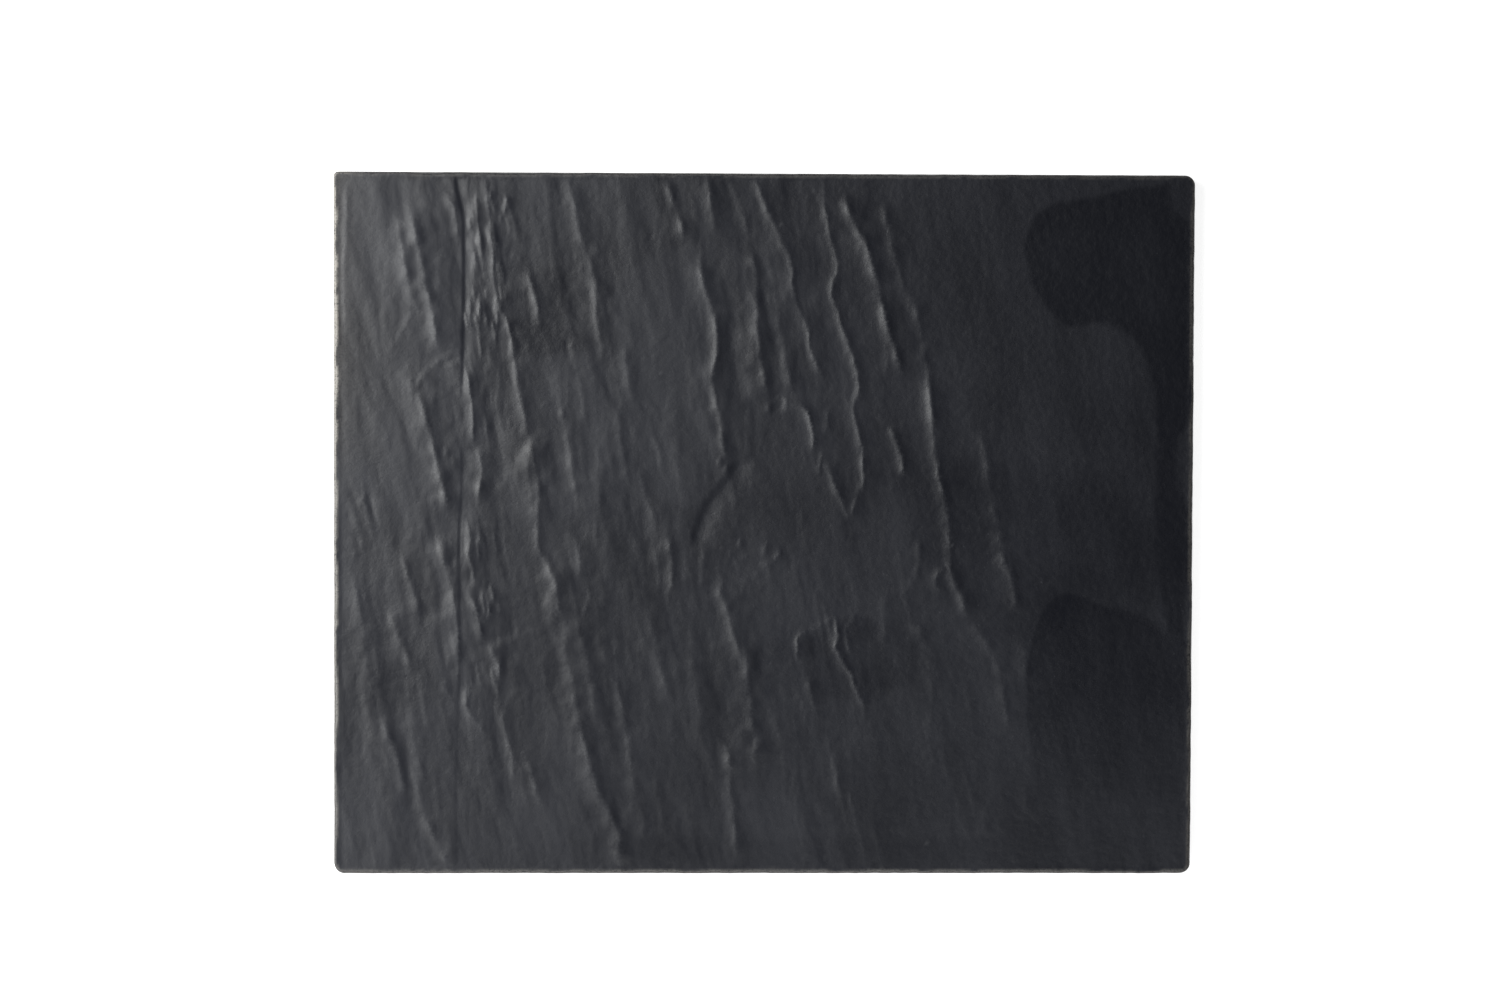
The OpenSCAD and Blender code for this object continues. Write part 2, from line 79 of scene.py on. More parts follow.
# The clefts of the riven face, read off the photograph in its pixels and listed from left to right.
# Each is a crest line that climbs from its left and breaks off on its right. Its grade is how brightly
# the climb shows, from 1 for a faint one to 9 for the sharp hook. Its ramp is how far the climb reaches,
# and its ends die away over its fade, both in millimetres.
LONG_FADE_MM = 9
SHORT_FADE_MM = 3
Cleft = namedtuple("Cleft", "grade ramp_mm route_px fade_mm", defaults=[LONG_FADE_MM])
CLEFTS = (
    # The strip left of the seam
    Cleft(4, 2, ((347, 172), (347, 215), (345, 260), (344, 330))),
    Cleft(4, 5.5, ((393, 205), (397, 220), (404, 258), (409, 285), (418, 312))),
    Cleft(2, 3, ((416, 308), (400, 333), (395, 345), (403, 362))),
    Cleft(4.5, 5, ((407, 200), (415, 235), (420, 255), (427, 290), (433, 320), (440, 357))),
    Cleft(3, 4, ((445, 192), (453, 205), (457, 225), (459, 243))),
    Cleft(6, 1.6, ((456, 355), (438, 362), (426, 371), (419, 382), (418, 392)), SHORT_FADE_MM),
    Cleft(5, 5.5, ((434, 362), (422, 373), (418, 386), (424, 415), (432, 440), (438, 470), (450, 518))),
    Cleft(3, 1.5, ((361, 482), (365, 505), (368, 520), (371, 540))),
    Cleft(2, 4, ((350, 560), (357, 590), (362, 625), (371, 660))),
    Cleft(3, 3.5, ((402, 545), (406, 568), (409, 580), (416, 605), (422, 618))),
    Cleft(3, 4, ((384, 602), (391, 620), (403, 648), (410, 662), (418, 676))),
    Cleft(3, 7, ((436, 532), (441, 548), (446, 570), (452, 590), (457, 612), (459, 640), (458, 690))),
    Cleft(4, 3.5, ((381, 716), (389, 735), (399, 760), (403, 782), (407, 808))),
    Cleft(2, 3, ((409, 716), (415, 740), (422, 770), (428, 790))),
    Cleft(3, 4, ((426, 814), (434, 835), (445, 860), (450, 870))),
    Cleft(2, 2, ((340, 748), (346, 750), (352, 748))),
    # Between the seam and the long ridge
    Cleft(3, 2.5, ((475, 185), (477, 215), (479, 245), (483, 275))),
    Cleft(5, 3.6, ((461, 352), (466, 375), (470, 395), (473, 420), (474, 451))),
    Cleft(3, 2, ((472, 200), (474, 226))),
    Cleft(3, 2, ((479, 228), (482, 264))),
    Cleft(3, 2, ((470, 296), (473, 332))),
    Cleft(3, 2, ((484, 298), (488, 332))),
    Cleft(5, 4.5, ((474, 447), (481, 458), (482, 475), (480, 503))),
    Cleft(3, 1.2, ((486, 412), (488, 430), (488, 446))),
    Cleft(2, 3, ((468, 522), (470, 540), (469, 560))),
    Cleft(4, 4.5, ((463, 575), (469, 590), (476, 606), (483, 637), (488, 647))),
    Cleft(4, 4.5, ((487, 640), (495, 656), (500, 666), (499, 678), (497, 692))),
    Cleft(3, 4, ((496, 694), (500, 706), (508, 740), (513, 758), (514, 790))),
    Cleft(3, 3.5, ((465, 684), (467, 712), (476, 722), (490, 740))),
    Cleft(3, 4, ((519, 744), (527, 760), (536, 785), (545, 818))),
    # The long ridge, from the back edge to the front edge
    Cleft(4, 3.2, ((486, 172), (489, 220), (492, 250), (494, 290), (502, 312), (508, 320), (513, 345),
                   (515, 365), (519, 395), (524, 405), (529, 435), (535, 465), (541, 494), (538, 512),
                   (537, 535), (539, 552), (546, 560), (555, 582), (560, 606))),
    Cleft(2.4, 9, ((546, 556), (554, 580), (562, 620), (565, 645), (573, 690), (581, 730), (592, 770),
                   (597, 787), (612, 813), (620, 834), (622, 845), (619, 874))),
    Cleft(2, 8, ((532, 425), (527, 470), (533, 500), (530, 530))),
    # Behind the long ridge
    Cleft(2, 3, ((504, 190), (511, 210), (517, 228), (521, 247))),
    Cleft(4, 3.5, ((525, 262), (532, 288), (538, 310), (541, 332))),
    Cleft(2, 2, ((546, 440), (541, 455), (544, 475))),
    Cleft(3, 4, ((564, 408), (567, 440), (570, 468), (577, 486), (579, 525))),
    Cleft(3, 3, ((574, 532), (579, 552), (580, 580))),
    Cleft(2, 2, ((585, 584), (592, 596), (588, 605), (581, 616))),
    Cleft(2, 4, ((573, 605), (580, 635), (589, 668), (598, 700))),
    Cleft(2, 5, ((580, 372), (584, 400), (588, 428))),
    Cleft(2, 4, ((590, 428), (596, 447), (600, 480), (603, 530))),
    Cleft(3, 4.2, ((567, 172), (572, 198), (576, 210), (580, 236), (586, 245), (591, 262), (596, 290),
                   (598, 320), (603, 357), (608, 370))),
    Cleft(2, 2.5, ((603, 280), (609, 300), (614, 318))),
    Cleft(3, 3.5, ((622, 338), (627, 365), (631, 385), (636, 406))),
    Cleft(2, 3.5, ((616, 398), (621, 420), (622, 440), (628, 472), (634, 495))),
    Cleft(2, 3, ((639, 464), (645, 492), (656, 524))),
    Cleft(3, 2, ((650, 436), (657, 443), (661, 456), (659, 470))),
    Cleft(2, 2, ((664, 452), (670, 452), (677, 466), (679, 484))),
    Cleft(3, 4, ((666, 524), (671, 550), (672, 580), (668, 606))),
    Cleft(2, 4, ((643, 604), (651, 630), (657, 655), (664, 685), (672, 706))),
    Cleft(2, 6, ((612, 640), (620, 690), (630, 750), (636, 800))),
    Cleft(1, 6, ((690, 640), (700, 700), (706, 760))),
    # The broken ridge and the hollow beside it
    Cleft(4, 4, ((663, 174), (671, 195), (678, 210), (682, 228), (682, 247))),
    Cleft(2, 2, ((683, 178), (690, 195), (696, 214), (698, 230))),
    Cleft(3, 3, ((705, 176), (710, 200), (714, 222), (716, 240))),
    Cleft(2, 2, ((699, 240), (701, 255), (701, 268))),
    Cleft(5, 4.5, ((699, 252), (703, 280), (713, 310), (717, 335), (718, 352), (712, 372), (714, 388),
                   (720, 420), (724, 445), (728, 466))),
    Cleft(3, 2.5, ((726, 174), (733, 190), (744, 217), (751, 242))),
    Cleft(3, 6, ((748, 236), (757, 280), (757, 310), (758, 345), (764, 380), (768, 402))),
    Cleft(4, 1.3, ((749, 166), (757, 186), (767, 209), (777, 232), (786, 252))),
    Cleft(3, 5, ((715, 578), (725, 602), (730, 622), (738, 652), (748, 668))),
    Cleft(2.5, 8, ((742, 640), (747, 662), (750, 690), (753, 725), (757, 748), (755, 776))),
    Cleft(3, 5, ((717, 732), (726, 750), (732, 768), (728, 788), (735, 815), (737, 866))),
    Cleft(2, 2.5, ((700, 540), (704, 558), (698, 590))),
    # Right of the middle
    Cleft(4, 3, ((750, 170), (757, 190), (769, 213), (780, 238), (790, 258), (793, 275), (791, 286),
                 (799, 310), (807, 324), (812, 355), (819, 368), (824, 386))),
    Cleft(2, 4.8, ((766, 245), (773, 285), (779, 320), (786, 362), (793, 398))),
    Cleft(9, 2.3, ((780, 405), (799, 405), (807, 412), (812, 424), (814, 440), (812, 452)), SHORT_FADE_MM),
    Cleft(4, 2.2, ((823, 450), (818, 465), (821, 476)), SHORT_FADE_MM),
    Cleft(4, 2.5, ((822, 462), (833, 476), (839, 494), (844, 506)), SHORT_FADE_MM),
    Cleft(3.5, 2.2, ((842, 498), (845, 510), (849, 522)), SHORT_FADE_MM),
    Cleft(3, 2.2, ((858, 494), (854, 506), (850, 520)), SHORT_FADE_MM),
    Cleft(2, 2.5, ((829, 408), (828, 420), (825, 436))),
    Cleft(4, 3.2, ((824, 182), (827, 220), (833, 240), (839, 262), (839, 274), (830, 285), (836, 312),
                   (849, 345), (858, 375), (861, 393), (853, 404), (857, 427), (864, 452), (863, 468),
                   (865, 484), (850, 500))),
    Cleft(5, 4.3, ((844, 192), (848, 212), (860, 232), (872, 265), (881, 298), (889, 335), (901, 368),
                   (902, 382))),
    Cleft(2, 2.7, ((883, 338), (886, 360), (887, 380))),
    Cleft(3, 3.6, ((884, 200), (890, 235), (894, 258), (907, 293), (915, 308), (920, 328), (925, 362),
                   (930, 395), (934, 430))),
    Cleft(4, 4.3, ((926, 372), (932, 412), (936, 450), (942, 485), (949, 520), (952, 550), (951, 576),
                   (962, 597), (968, 622))),
    Cleft(4, 2.2, ((948, 566), (938, 572), (936, 582), (940, 594)), SHORT_FADE_MM),
    Cleft(2, 4.1, ((918, 535), (921, 560), (918, 578), (905, 594))),
    Cleft(5, 2.6, ((891, 426), (898, 443), (903, 460), (903, 478)), SHORT_FADE_MM),
    Cleft(2, 4.1, ((975, 425), (984, 447), (988, 472), (994, 508), (1000, 534))),
    Cleft(3, 5.5, ((998, 524), (1002, 557), (1012, 583), (1016, 600), (1012, 618))),
    Cleft(4.2, 1.4, ((837, 612), (822, 625), (808, 630), (798, 635), (795, 648), (797, 664)), SHORT_FADE_MM),
    Cleft(5, 2.2, ((834, 614), (838, 628), (837, 640), (835, 648), (840, 660), (850, 672), (856, 687),
                   (861, 703), (869, 708)), SHORT_FADE_MM),
    Cleft(3.5, 1.8, ((859, 611), (851, 622), (845, 632), (848, 645), (851, 656)), SHORT_FADE_MM),
    Cleft(2, 4.1, ((806, 676), (811, 695), (814, 712))),
    Cleft(1, 5, ((832, 740), (836, 770), (838, 800))),
    Cleft(1, 5, ((881, 588), (885, 615), (886, 655))),
    Cleft(1, 6, ((912, 612), (924, 640), (932, 680), (932, 705), (928, 735), (936, 778))),
    Cleft(2, 5.4, ((966, 618), (980, 634), (990, 650), (1001, 672), (1003, 697), (1014, 738))),
    Cleft(1, 6.8, ((1020, 744), (1026, 770), (1025, 800), (1027, 826))),
    Cleft(1, 5.4, ((1022, 632), (1026, 660), (1026, 690))),
    Cleft(1, 5.4, ((998, 786), (985, 810), (984, 840))),
)
# The light of the photograph comes from the left, so a crest there shines at a lower slope
GRADE_SLOPE_LEFT = 0.048
GRADE_SLOPE_RIGHT = 0.076

# Thin splinters between the clefts, at random places in a part of the photograph: how many there are,
# their grade, ramp and mean length, and two corners of the part in pixels
Splinters = namedtuple("Splinters", "count grade ramp_mm length_px low_px high_px")
SPLINTERS = (
    # The broken strip beside the seam
    Splinters(40, 4.5, 1.4, 18, (466, 185), (508, 335)),
    Splinters(18, 3.5, 1.4, 22, (464, 510), (498, 680)),
    # The crumbled place under the crack
    Splinters(26, 2.5, 1.0, 9, (718, 540), (780, 592)),
    # Streaks along the grain
    Splinters(45, 1.3, 2.4, 70, (350, 470), (445, 840)),
    Splinters(80, 0.8, 2.4, 60, (510, 190), (720, 840)),
    Splinters(30, 0.9, 2.6, 80, (760, 540), (980, 840)),
)
# The least and the most of a splinter's mean length and grade, and how far it turns from the grain
SPLINTER_SPREAD = (0.5, 1.5)
SPLINTER_TURN_DEG = 5.0

# Grooves of the riven face, in the photograph's pixels: a depth, the width of the left wall, and how
# many times wider the right wall is. A straight one doesn't wander.
Groove = namedtuple("Groove", "depth_mm wall_mm lean route_px straight", defaults=[False])
GROOVES = (
    # The straight seam
    Groove(0.28, 0.7, 3.5, ((455, 168), (459, 195), (464, 212), (465, 240), (465, 300), (464, 345),
                            (463, 392)), straight=True),
    Groove(0.15, 0.7, 3.5, ((463, 444), (463, 480), (462, 507), (460, 535), (460, 560), (461, 590),
                            (461, 640), (460, 706)), straight=True),
    Groove(0.07, 0.8, 3.5, ((460, 690), (458, 740), (457, 800), (458, 822), (457, 876)), straight=True),
    # The crack across the broken ridge
    Groove(0.42, 1.3, 4, ((745, 457), (730, 478), (720, 490), (710, 505), (702, 518), (697, 532),
                          (693, 548))),
    Groove(0.12, 0.9, 2.0, ((753, 394), (756, 420), (755, 440), (752, 458), (742, 468))),
    # Breaks across the grain
    Groove(0.36, 0.8, 1.2, ((438, 364), (448, 361), (458, 356))),
    Groove(0.32, 0.9, 1.2, ((769, 412), (782, 406), (797, 406))),
    Groove(0.16, 0.8, 1.2, ((352, 484), (356, 505), (361, 524))),
    Groove(0.16, 0.8, 1.2, ((366, 488), (371, 508), (376, 528))),
    Groove(0.16, 0.8, 1.2, ((566, 338), (568, 362))),
    Groove(0.05, 1.3, 1.5, ((362, 212), (368, 240), (372, 262), (377, 305), (384, 365), (389, 400),
                            (394, 456))),
    # Hollows
    Groove(0.28, 2.4, 1.8, ((496, 408), (498, 440), (500, 470), (494, 496))),
    Groove(0.3, 3.0, 1.5, ((728, 276), (734, 310), (735, 345), (738, 380), (736, 404))),
    Groove(0.25, 2.0, 1.5, ((406, 732), (409, 770), (412, 816))),
    Groove(0.2, 1.8, 1.5, ((504, 644), (507, 668), (504, 698))),
    Groove(0.12, 1.8, 1.5, ((817, 630), (816, 664))),
)

# Grains that stand out of the face, as pixels of the photograph
NUBS_PX = ((562, 413), (720, 462), (727, 469), (769, 408), (447, 452), (779, 554), (765, 550), (740, 544))
NUB_HEIGHT_MM = 0.4
NUB_RADIUS_MM = 1.0

# Pale mineral specks, as pixels of the photograph
SPECKS_PX = (
    (562, 412), (661, 373), (813, 190), (781, 225), (880, 230), (965, 332), (1046, 453), (1071, 420),
    (825, 858), (927, 843), (952, 545), (800, 661), (777, 398),
)
SPECK_RADIUS_MM = 0.5
SPECK_STRENGTH = 0.1

# Leaves of the stone, some of them patches of painted shade, as outlines in the photograph's pixels: how far
# the face sinks there, how much paler it is, how much smoother it is, and the width of the leaf's lip. A leaf
# may die away between two rows of the photograph.
Leaf = namedtuple("Leaf", "sink_mm pale calm lip_mm outline_px dies_px", defaults=[None])
LEAVES = (
    # The smooth dark pools on the right
    Leaf(0.05, -1.0, 0.85, 1.3, (
        (1090, 198), (1057, 203), (1040, 212), (1030, 228), (1024, 245),
        (1026, 262), (1033, 285), (1044, 303), (1056, 318), (1066, 327), (1082, 325), (1100, 322),
        (1118, 327), (1132, 336), (1143, 350), (1150, 370), (1156, 395), (1158, 430), (1157, 480),
        (1157, 540), (1162, 590), (1168, 636), (1184, 642), (1193, 560), (1188, 508), (1178, 485),
        (1175, 460), (1178, 440), (1190, 421), (1200, 380), (1200, 229), (1177, 215), (1171, 205),
        (1170, 184), (1130, 189))),
    Leaf(0.05, -0.9, 0.85, 0.9, (
        (1168, 637), (1158, 626), (1138, 613), (1118, 609), (1098, 605), (1085, 598), (1070, 593),
        (1055, 597), (1044, 611), (1036, 626), (1031, 648), (1027, 668), (1028, 720), (1034, 760),
        (1042, 830), (1200, 830), (1200, 644)), dies_px=(660, 830)),
    # The dark leaf behind the arched crests, which is painted shade, and the dark band along the front
    Leaf(0.0, -0.4, 0.2, 3.5, ((750, 652), (790, 632), (835, 622), (900, 624), (922, 640), (915, 680),
                               (880, 695), (800, 700), (754, 690))),
    Leaf(0.0, -0.3, 0.0, 2.2, ((570, 838), (1010, 838), (1010, 866), (570, 866))),
    # Painted shade in the hollows on both sides of the arched crests, which are not sunk
    Leaf(0.0, -0.4, 0.2, 1.6, ((803, 637), (830, 630), (832, 646), (828, 656), (806, 656))),
    Leaf(0.0, -0.4, 0.2, 1.6, ((842, 615), (872, 616), (874, 640), (850, 640), (842, 626))),
    # The dark leaves on the left, beside the seam, where the darkness is painted shade, and on the right
    Leaf(0.0, -0.6, 0.0, 5.0, ((346, 500), (376, 490), (415, 540), (440, 600), (436, 690), (400, 715),
                               (346, 705))),
    Leaf(0.0, -0.5, 0.0, 4.0, ((474, 270), (530, 262), (572, 275), (560, 330), (545, 400), (548, 470),
                               (520, 480), (490, 440), (474, 400))),
    Leaf(0.0, -0.6, 0.0, 8.0, ((905, 480), (960, 465), (1030, 470), (1100, 480), (1150, 520), (1150, 600),
                               (1090, 605), (1020, 640), (940, 600))),
    # The dark leaf behind the long ridge, and the pale leaves in front of it
    Leaf(0.0, -0.5, 0.2, 1.8, ((506, 318), (540, 322), (575, 330), (598, 340), (590, 352), (545, 354),
                               (514, 356))),
    Leaf(0.0, 0.25, 0.0, 1.6, ((514, 360), (545, 356), (578, 354), (604, 366), (608, 420), (600, 500),
                               (560, 520), (538, 470), (524, 402))),
    Leaf(0.0, 0.45, 0.0, 1.8, ((612, 300), (625, 275), (645, 258), (675, 247), (696, 244), (703, 280),
                               (712, 310), (712, 385), (720, 440), (700, 510), (660, 500), (628, 420))),
)

# Settings that a user would change


class SlabSettings(bpy.types.PropertyGroup):
    """Sizes, relief and colours of the slab"""

    thickness: bpy.props.FloatProperty(
        name="Thickness", description="Stone from the underside to the mean level of the riven face",
        default=6.5 * MM, unit="LENGTH")
    corner_radius: bpy.props.FloatProperty(
        name="Corner radius", description="Radius of the corners, seen from above",
        default=4 * MM, unit="LENGTH")
    back_left_radius: bpy.props.FloatProperty(
        name="Back left radius", description="Radius of the back left corner, which is sharper",
        default=1.6 * MM, unit="LENGTH")
    arris_radius: bpy.props.FloatProperty(
        name="Arris radius", description="Radius of the rounded edge of the riven face",
        default=1.2 * MM, unit="LENGTH")
    bevel_width: bpy.props.FloatProperty(
        name="Bevel width", description="Width of the bevel round the underside",
        default=0.8 * MM, unit="LENGTH")
    fine_pitch: bpy.props.FloatProperty(
        name="Fine pitch", description="Spacing of the mesh across the clefts",
        default=0.78 * MM, unit="LENGTH")
    seam_pitch: bpy.props.FloatProperty(
        name="Seam pitch", description="Spacing of the mesh across the seam, the broken strip and the arches",
        default=0.5 * MM, unit="LENGTH")
    plain_pitch: bpy.props.FloatProperty(
        name="Plain pitch", description="Spacing of the mesh on the smooth right-hand side",
        default=1.6 * MM, unit="LENGTH")
    row_pitch: bpy.props.FloatProperty(
        name="Row pitch", description="Spacing of the mesh along the clefts",
        default=1.25 * MM, unit="LENGTH")
    relief: bpy.props.FloatProperty(
        name="Relief", description="How strongly the clefts stand out", default=1.0, subtype="FACTOR")
    ripple_height: bpy.props.FloatProperty(
        name="Ripple height", description="Height of the ripples between the clefts",
        default=1.15 * MM, unit="LENGTH")
    ripple_width: bpy.props.FloatProperty(
        name="Ripple width", description="Width of a ripple across the grain",
        default=26 * MM, unit="LENGTH")
    step_height: bpy.props.FloatProperty(
        name="Step height", description="Height of the steps between thin leaves of the stone",
        default=0.07 * MM, unit="LENGTH")
    step_width: bpy.props.FloatProperty(
        name="Step width", description="Width of the patches that the thin leaves leave",
        default=11 * MM, unit="LENGTH")
    grain_height: bpy.props.FloatProperty(
        name="Grain height", description="Height of the stone's grain",
        default=0.04 * MM, unit="LENGTH")
    grain_width: bpy.props.FloatProperty(
        name="Grain width", description="Width of the stone's grain",
        default=2.8 * MM, unit="LENGTH")
    stretch: bpy.props.FloatProperty(
        name="Stretch", description="How many times longer ripples and grain are than wide", default=3.0)
    lean: bpy.props.FloatProperty(
        name="Lean", description="How far ripples lean to the right, in their widths", default=0.8)
    seed: bpy.props.IntProperty(
        name="Seed", description="Picks the pattern of ripples and grain", default=11)
    dark: bpy.props.FloatVectorProperty(
        name="Dark stone", description="Colour of the stone's dark leaves",
        default=(0.0079, 0.0088, 0.0132), subtype="COLOR")
    light: bpy.props.FloatVectorProperty(
        name="Light stone", description="Colour of the stone's light leaves",
        default=(0.0171, 0.0187, 0.0256), subtype="COLOR")
    # This pale colour also paints a highlight on the left arris and along the back of the left edge
    rubbed: bpy.props.FloatVectorProperty(
        name="Rubbed edge", description="Colour where the arris is rubbed",
        default=(0.44, 0.415, 0.37), subtype="COLOR")
    sheen: bpy.props.FloatVectorProperty(
        name="Sheen", description="Tint of the light that the oiled stone reflects",
        default=(0.955, 0.96, 0.948), subtype="COLOR")
    # This colour also paints the highlights on the crests
    chalk_and_highlight: bpy.props.FloatVectorProperty(
        name="Crumbs and specks", description="Colour of crumbs on the crests and of mineral specks",
        default=(0.39, 0.40, 0.415), subtype="COLOR")


class FeetSettings(bpy.types.PropertyGroup):
    """Colours of the feet and of the discs that hold them"""

    rubber: bpy.props.FloatVectorProperty(
        name="Rubber", description="Colour of the feet", default=(0.012, 0.012, 0.013), subtype="COLOR")
    dust: bpy.props.FloatVectorProperty(
        name="Dust", description="Colour of the dust on the feet",
        default=(0.09, 0.085, 0.078), subtype="COLOR")
    adhesive: bpy.props.FloatVectorProperty(
        name="Adhesive", description="Colour of the adhesive discs",
        default=(0.55, 0.52, 0.45), subtype="COLOR")


class StageSettings(bpy.types.PropertyGroup):
    """Lights and floor of the studio"""

    softbox_power: bpy.props.FloatProperty(
        name="Softbox", description="Power of the large soft light on the left", default=5.8, unit="POWER")
    softbox_size: bpy.props.FloatProperty(
        name="Softbox size", description="Side of the large soft light", default=0.6, unit="LENGTH")
    front_power: bpy.props.FloatProperty(
        name="Front strip", description="Power of the long light along the front", default=1.27, unit="POWER")
    side_power: bpy.props.FloatProperty(
        name="Side strip", description="Power of the long light along the left", default=3.23, unit="POWER")
    strip_length: bpy.props.FloatProperty(
        name="Strip length", description="Length of the two long lights", default=0.8, unit="LENGTH")
    strip_width: bpy.props.FloatProperty(
        name="Strip width", description="Width of the two long lights", default=0.2, unit="LENGTH")
    fill: bpy.props.FloatProperty(
        name="Fill", description="Strength of the light from all round", default=0.023)
    floor: bpy.props.FloatVectorProperty(
        name="Floor", description="Colour of the floor", default=(0.86, 0.86, 0.86), subtype="COLOR")
    glow: bpy.props.FloatProperty(
        name="Backdrop", description="How white the floor is where the camera sees it", default=0.85)


# Node graphs, for materials and for geometry


class Wire:
    """A node's output, with arithmetic on numbers that adds Math nodes."""

    def __init__(self, graph, socket):
        self.graph = graph
        self.socket = socket

    def also(self, output):
        """Another output of the same node."""
        return Wire(self.graph, self.socket.node.outputs[output])

    def _math(self, operation, first, second):
        """The result of a new Math node."""
        return self.graph.add("ShaderNodeMath", {"operation": operation}, {0: first, 1: second})

    def __add__(self, other):
        return self._math("ADD", self, other)

    def __sub__(self, other):
        return self._math("SUBTRACT", self, other)

    def __rsub__(self, other):
        return self._math("SUBTRACT", other, self)

    def __mul__(self, other):
        return self._math("MULTIPLY", self, other)

    def __truediv__(self, other):
        return self._math("DIVIDE", self, other)

    def __rtruediv__(self, other):
        return self._math("DIVIDE", other, self)

    __radd__ = __add__
    __rmul__ = __mul__


# Patterns of the finishes: how many cells there are to the metre, their detail and how rough that is
Pattern = namedtuple("Pattern", "scale detail roughness", defaults=[0.5])


class Graph:
    """A node tree that is filled one node at a time."""

    # The sockets that a Mix node uses for colours
    MIX_FACTOR = 0
    MIX_FIRST = 6
    MIX_SECOND = 7
    MIX_RESULT = 2

    def __init__(self, tree):
        self.tree = tree

    def add(self, kind, settings=None, inputs=None, output=0):
        """Adds a node with its settings, then its socket values or links, and gives one of its outputs."""
        node = self.tree.nodes.new(kind)
        for name, value in (settings or {}).items():
            if name == "stops":
                self._set_stops(node.color_ramp, value)
            else:
                setattr(node, name, value)
        for key, value in (inputs or {}).items():
            if isinstance(value, Wire):
                self.tree.links.new(value.socket, node.inputs[key])
            else:
                node.inputs[key].default_value = value
        return Wire(self, node.outputs[output]) if node.outputs else node

    @staticmethod
    def _set_stops(ramp, stops):
        """Gives a colour ramp its stops, each a place and a colour."""
        while len(ramp.elements) < len(stops):
            ramp.elements.new(1.0)
        for element, (place, colour) in zip(ramp.elements, stops):
            element.position = place
            element.color = colour

    def mix(self, factor, first, second):
        """Mixes two colours."""
        settings = {"data_type": "RGBA", "clamp_factor": True}
        inputs = {self.MIX_FACTOR: factor, self.MIX_FIRST: first, self.MIX_SECOND: second}
        return self.add("ShaderNodeMix", settings, inputs, output=self.MIX_RESULT)

    def band(self, value, span):
        """Carries a value over a span from 0 to 1, smoothly and held at both ends."""
        settings = {"interpolation_type": "SMOOTHSTEP", "clamp": True}
        inputs = {"Value": value, "From Min": span[0], "From Max": span[1]}
        return self.add("ShaderNodeMapRange", settings, inputs)

    def noise(self, place, pattern):
        """A cloudy pattern, as numbers from 0 to 1."""
        inputs = {"Vector": place, "Scale": pattern.scale, "Detail": pattern.detail,
                  "Roughness": pattern.roughness}
        return self.add("ShaderNodeTexNoise", {}, inputs)


WHITE = (1.0, 1.0, 1.0, 1.0)


def opaque(colour):
    """A colour that nothing shows through."""
    return (*colour, 1.0)


def new_material(name):
    """An empty material, as its graph and the material."""
    material = bpy.data.materials.new(name)
    material.use_nodes = True
    material.node_tree.nodes.clear()
    return Graph(material.node_tree), material


def finish_surface(graph, inputs):
    """Ends a material in a principled shader with these inputs."""
    shader = graph.add("ShaderNodeBsdfPrincipled", {}, inputs)
    graph.add("ShaderNodeOutputMaterial", {}, {"Surface": shader})


# The riven face

GRAIN_SLANT_DEG = 12.0
CAMERA_MATRIX = np.array(CAMERA_TURN.to_matrix())
# How much of each stretch of a route is cut off where its corners are softened
CORNER_CUT = 0.25


def on_face(route_px, level):
    """Carries pixels of the photograph along the camera's rays to the face at a level."""
    pixels = np.asarray(route_px, float)
    focal_px = CAMERA_LENS_MM / CAMERA_SENSOR_MM * PHOTO_WIDTH_PX
    across = (pixels[:, 0] - PHOTO_WIDTH_PX / 2) / focal_px
    up = (PHOTO_HEIGHT_PX / 2 - pixels[:, 1]) / focal_px
    rays = np.stack([across, up, -np.ones(len(pixels))], axis=1) @ CAMERA_MATRIX.T
    reach = (level - CAMERA_PLACE[2]) / rays[:, 2]
    return np.asarray(CAMERA_PLACE)[:2] + rays[:, :2] * reach[:, None]


def softened(route):
    """Cuts the corners of a route once, and keeps its ends."""
    near = (1 - CORNER_CUT) * route[:-1] + CORNER_CUT * route[1:]
    far = CORNER_CUT * route[:-1] + (1 - CORNER_CUT) * route[1:]
    middle = np.stack([near, far], axis=1).reshape(-1, 2)
    return np.concatenate([route[:1], middle, route[-1:]])


def smooth_step(value):
    """Eases from 0 to 1, and is held at both ends."""
    held = np.clip(value, 0, 1)
    return held * held * (3 - 2 * held)


def route_normals(route):
    """Directions square to a route at its points, to the right of one that runs down the photograph."""
    along = np.gradient(route, axis=0)
    along /= np.linalg.norm(along, axis=1)[:, None]
    return np.stack([-along[:, 1], along[:, 0]], axis=1)


def distances(x, y, route):
    """Signed distance of each place from a route, and how far along the route its nearest point is.

    The route's length comes third.
    """
    normals = route_normals(route)
    lengths = np.linalg.norm(np.diff(route, axis=0), axis=1)
    best = np.full(x.shape, np.inf)
    signed = np.zeros(x.shape)
    along = np.zeros(x.shape)
    start = 0.0
    for k, length in enumerate(lengths):
        step = (route[k + 1] - route[k]) / length
        off_x = x - route[k, 0]
        off_y = y - route[k, 1]
        share = np.clip((off_x * step[0] + off_y * step[1]) / length, 0, 1)
        near_x = off_x - share * length * step[0]
        near_y = off_y - share * length * step[1]
        distance = np.hypot(near_x, near_y)
        normal = normals[k] + share[..., None] * (normals[k + 1] - normals[k])
        side = np.where(near_x * normal[..., 0] + near_y * normal[..., 1] < 0, -1.0, 1.0)
        closer = distance < best
        best = np.where(closer, distance, best)
        signed = np.where(closer, side * distance, signed)
        along = np.where(closer, start + share * length, along)
        start += length
    return signed, along, start


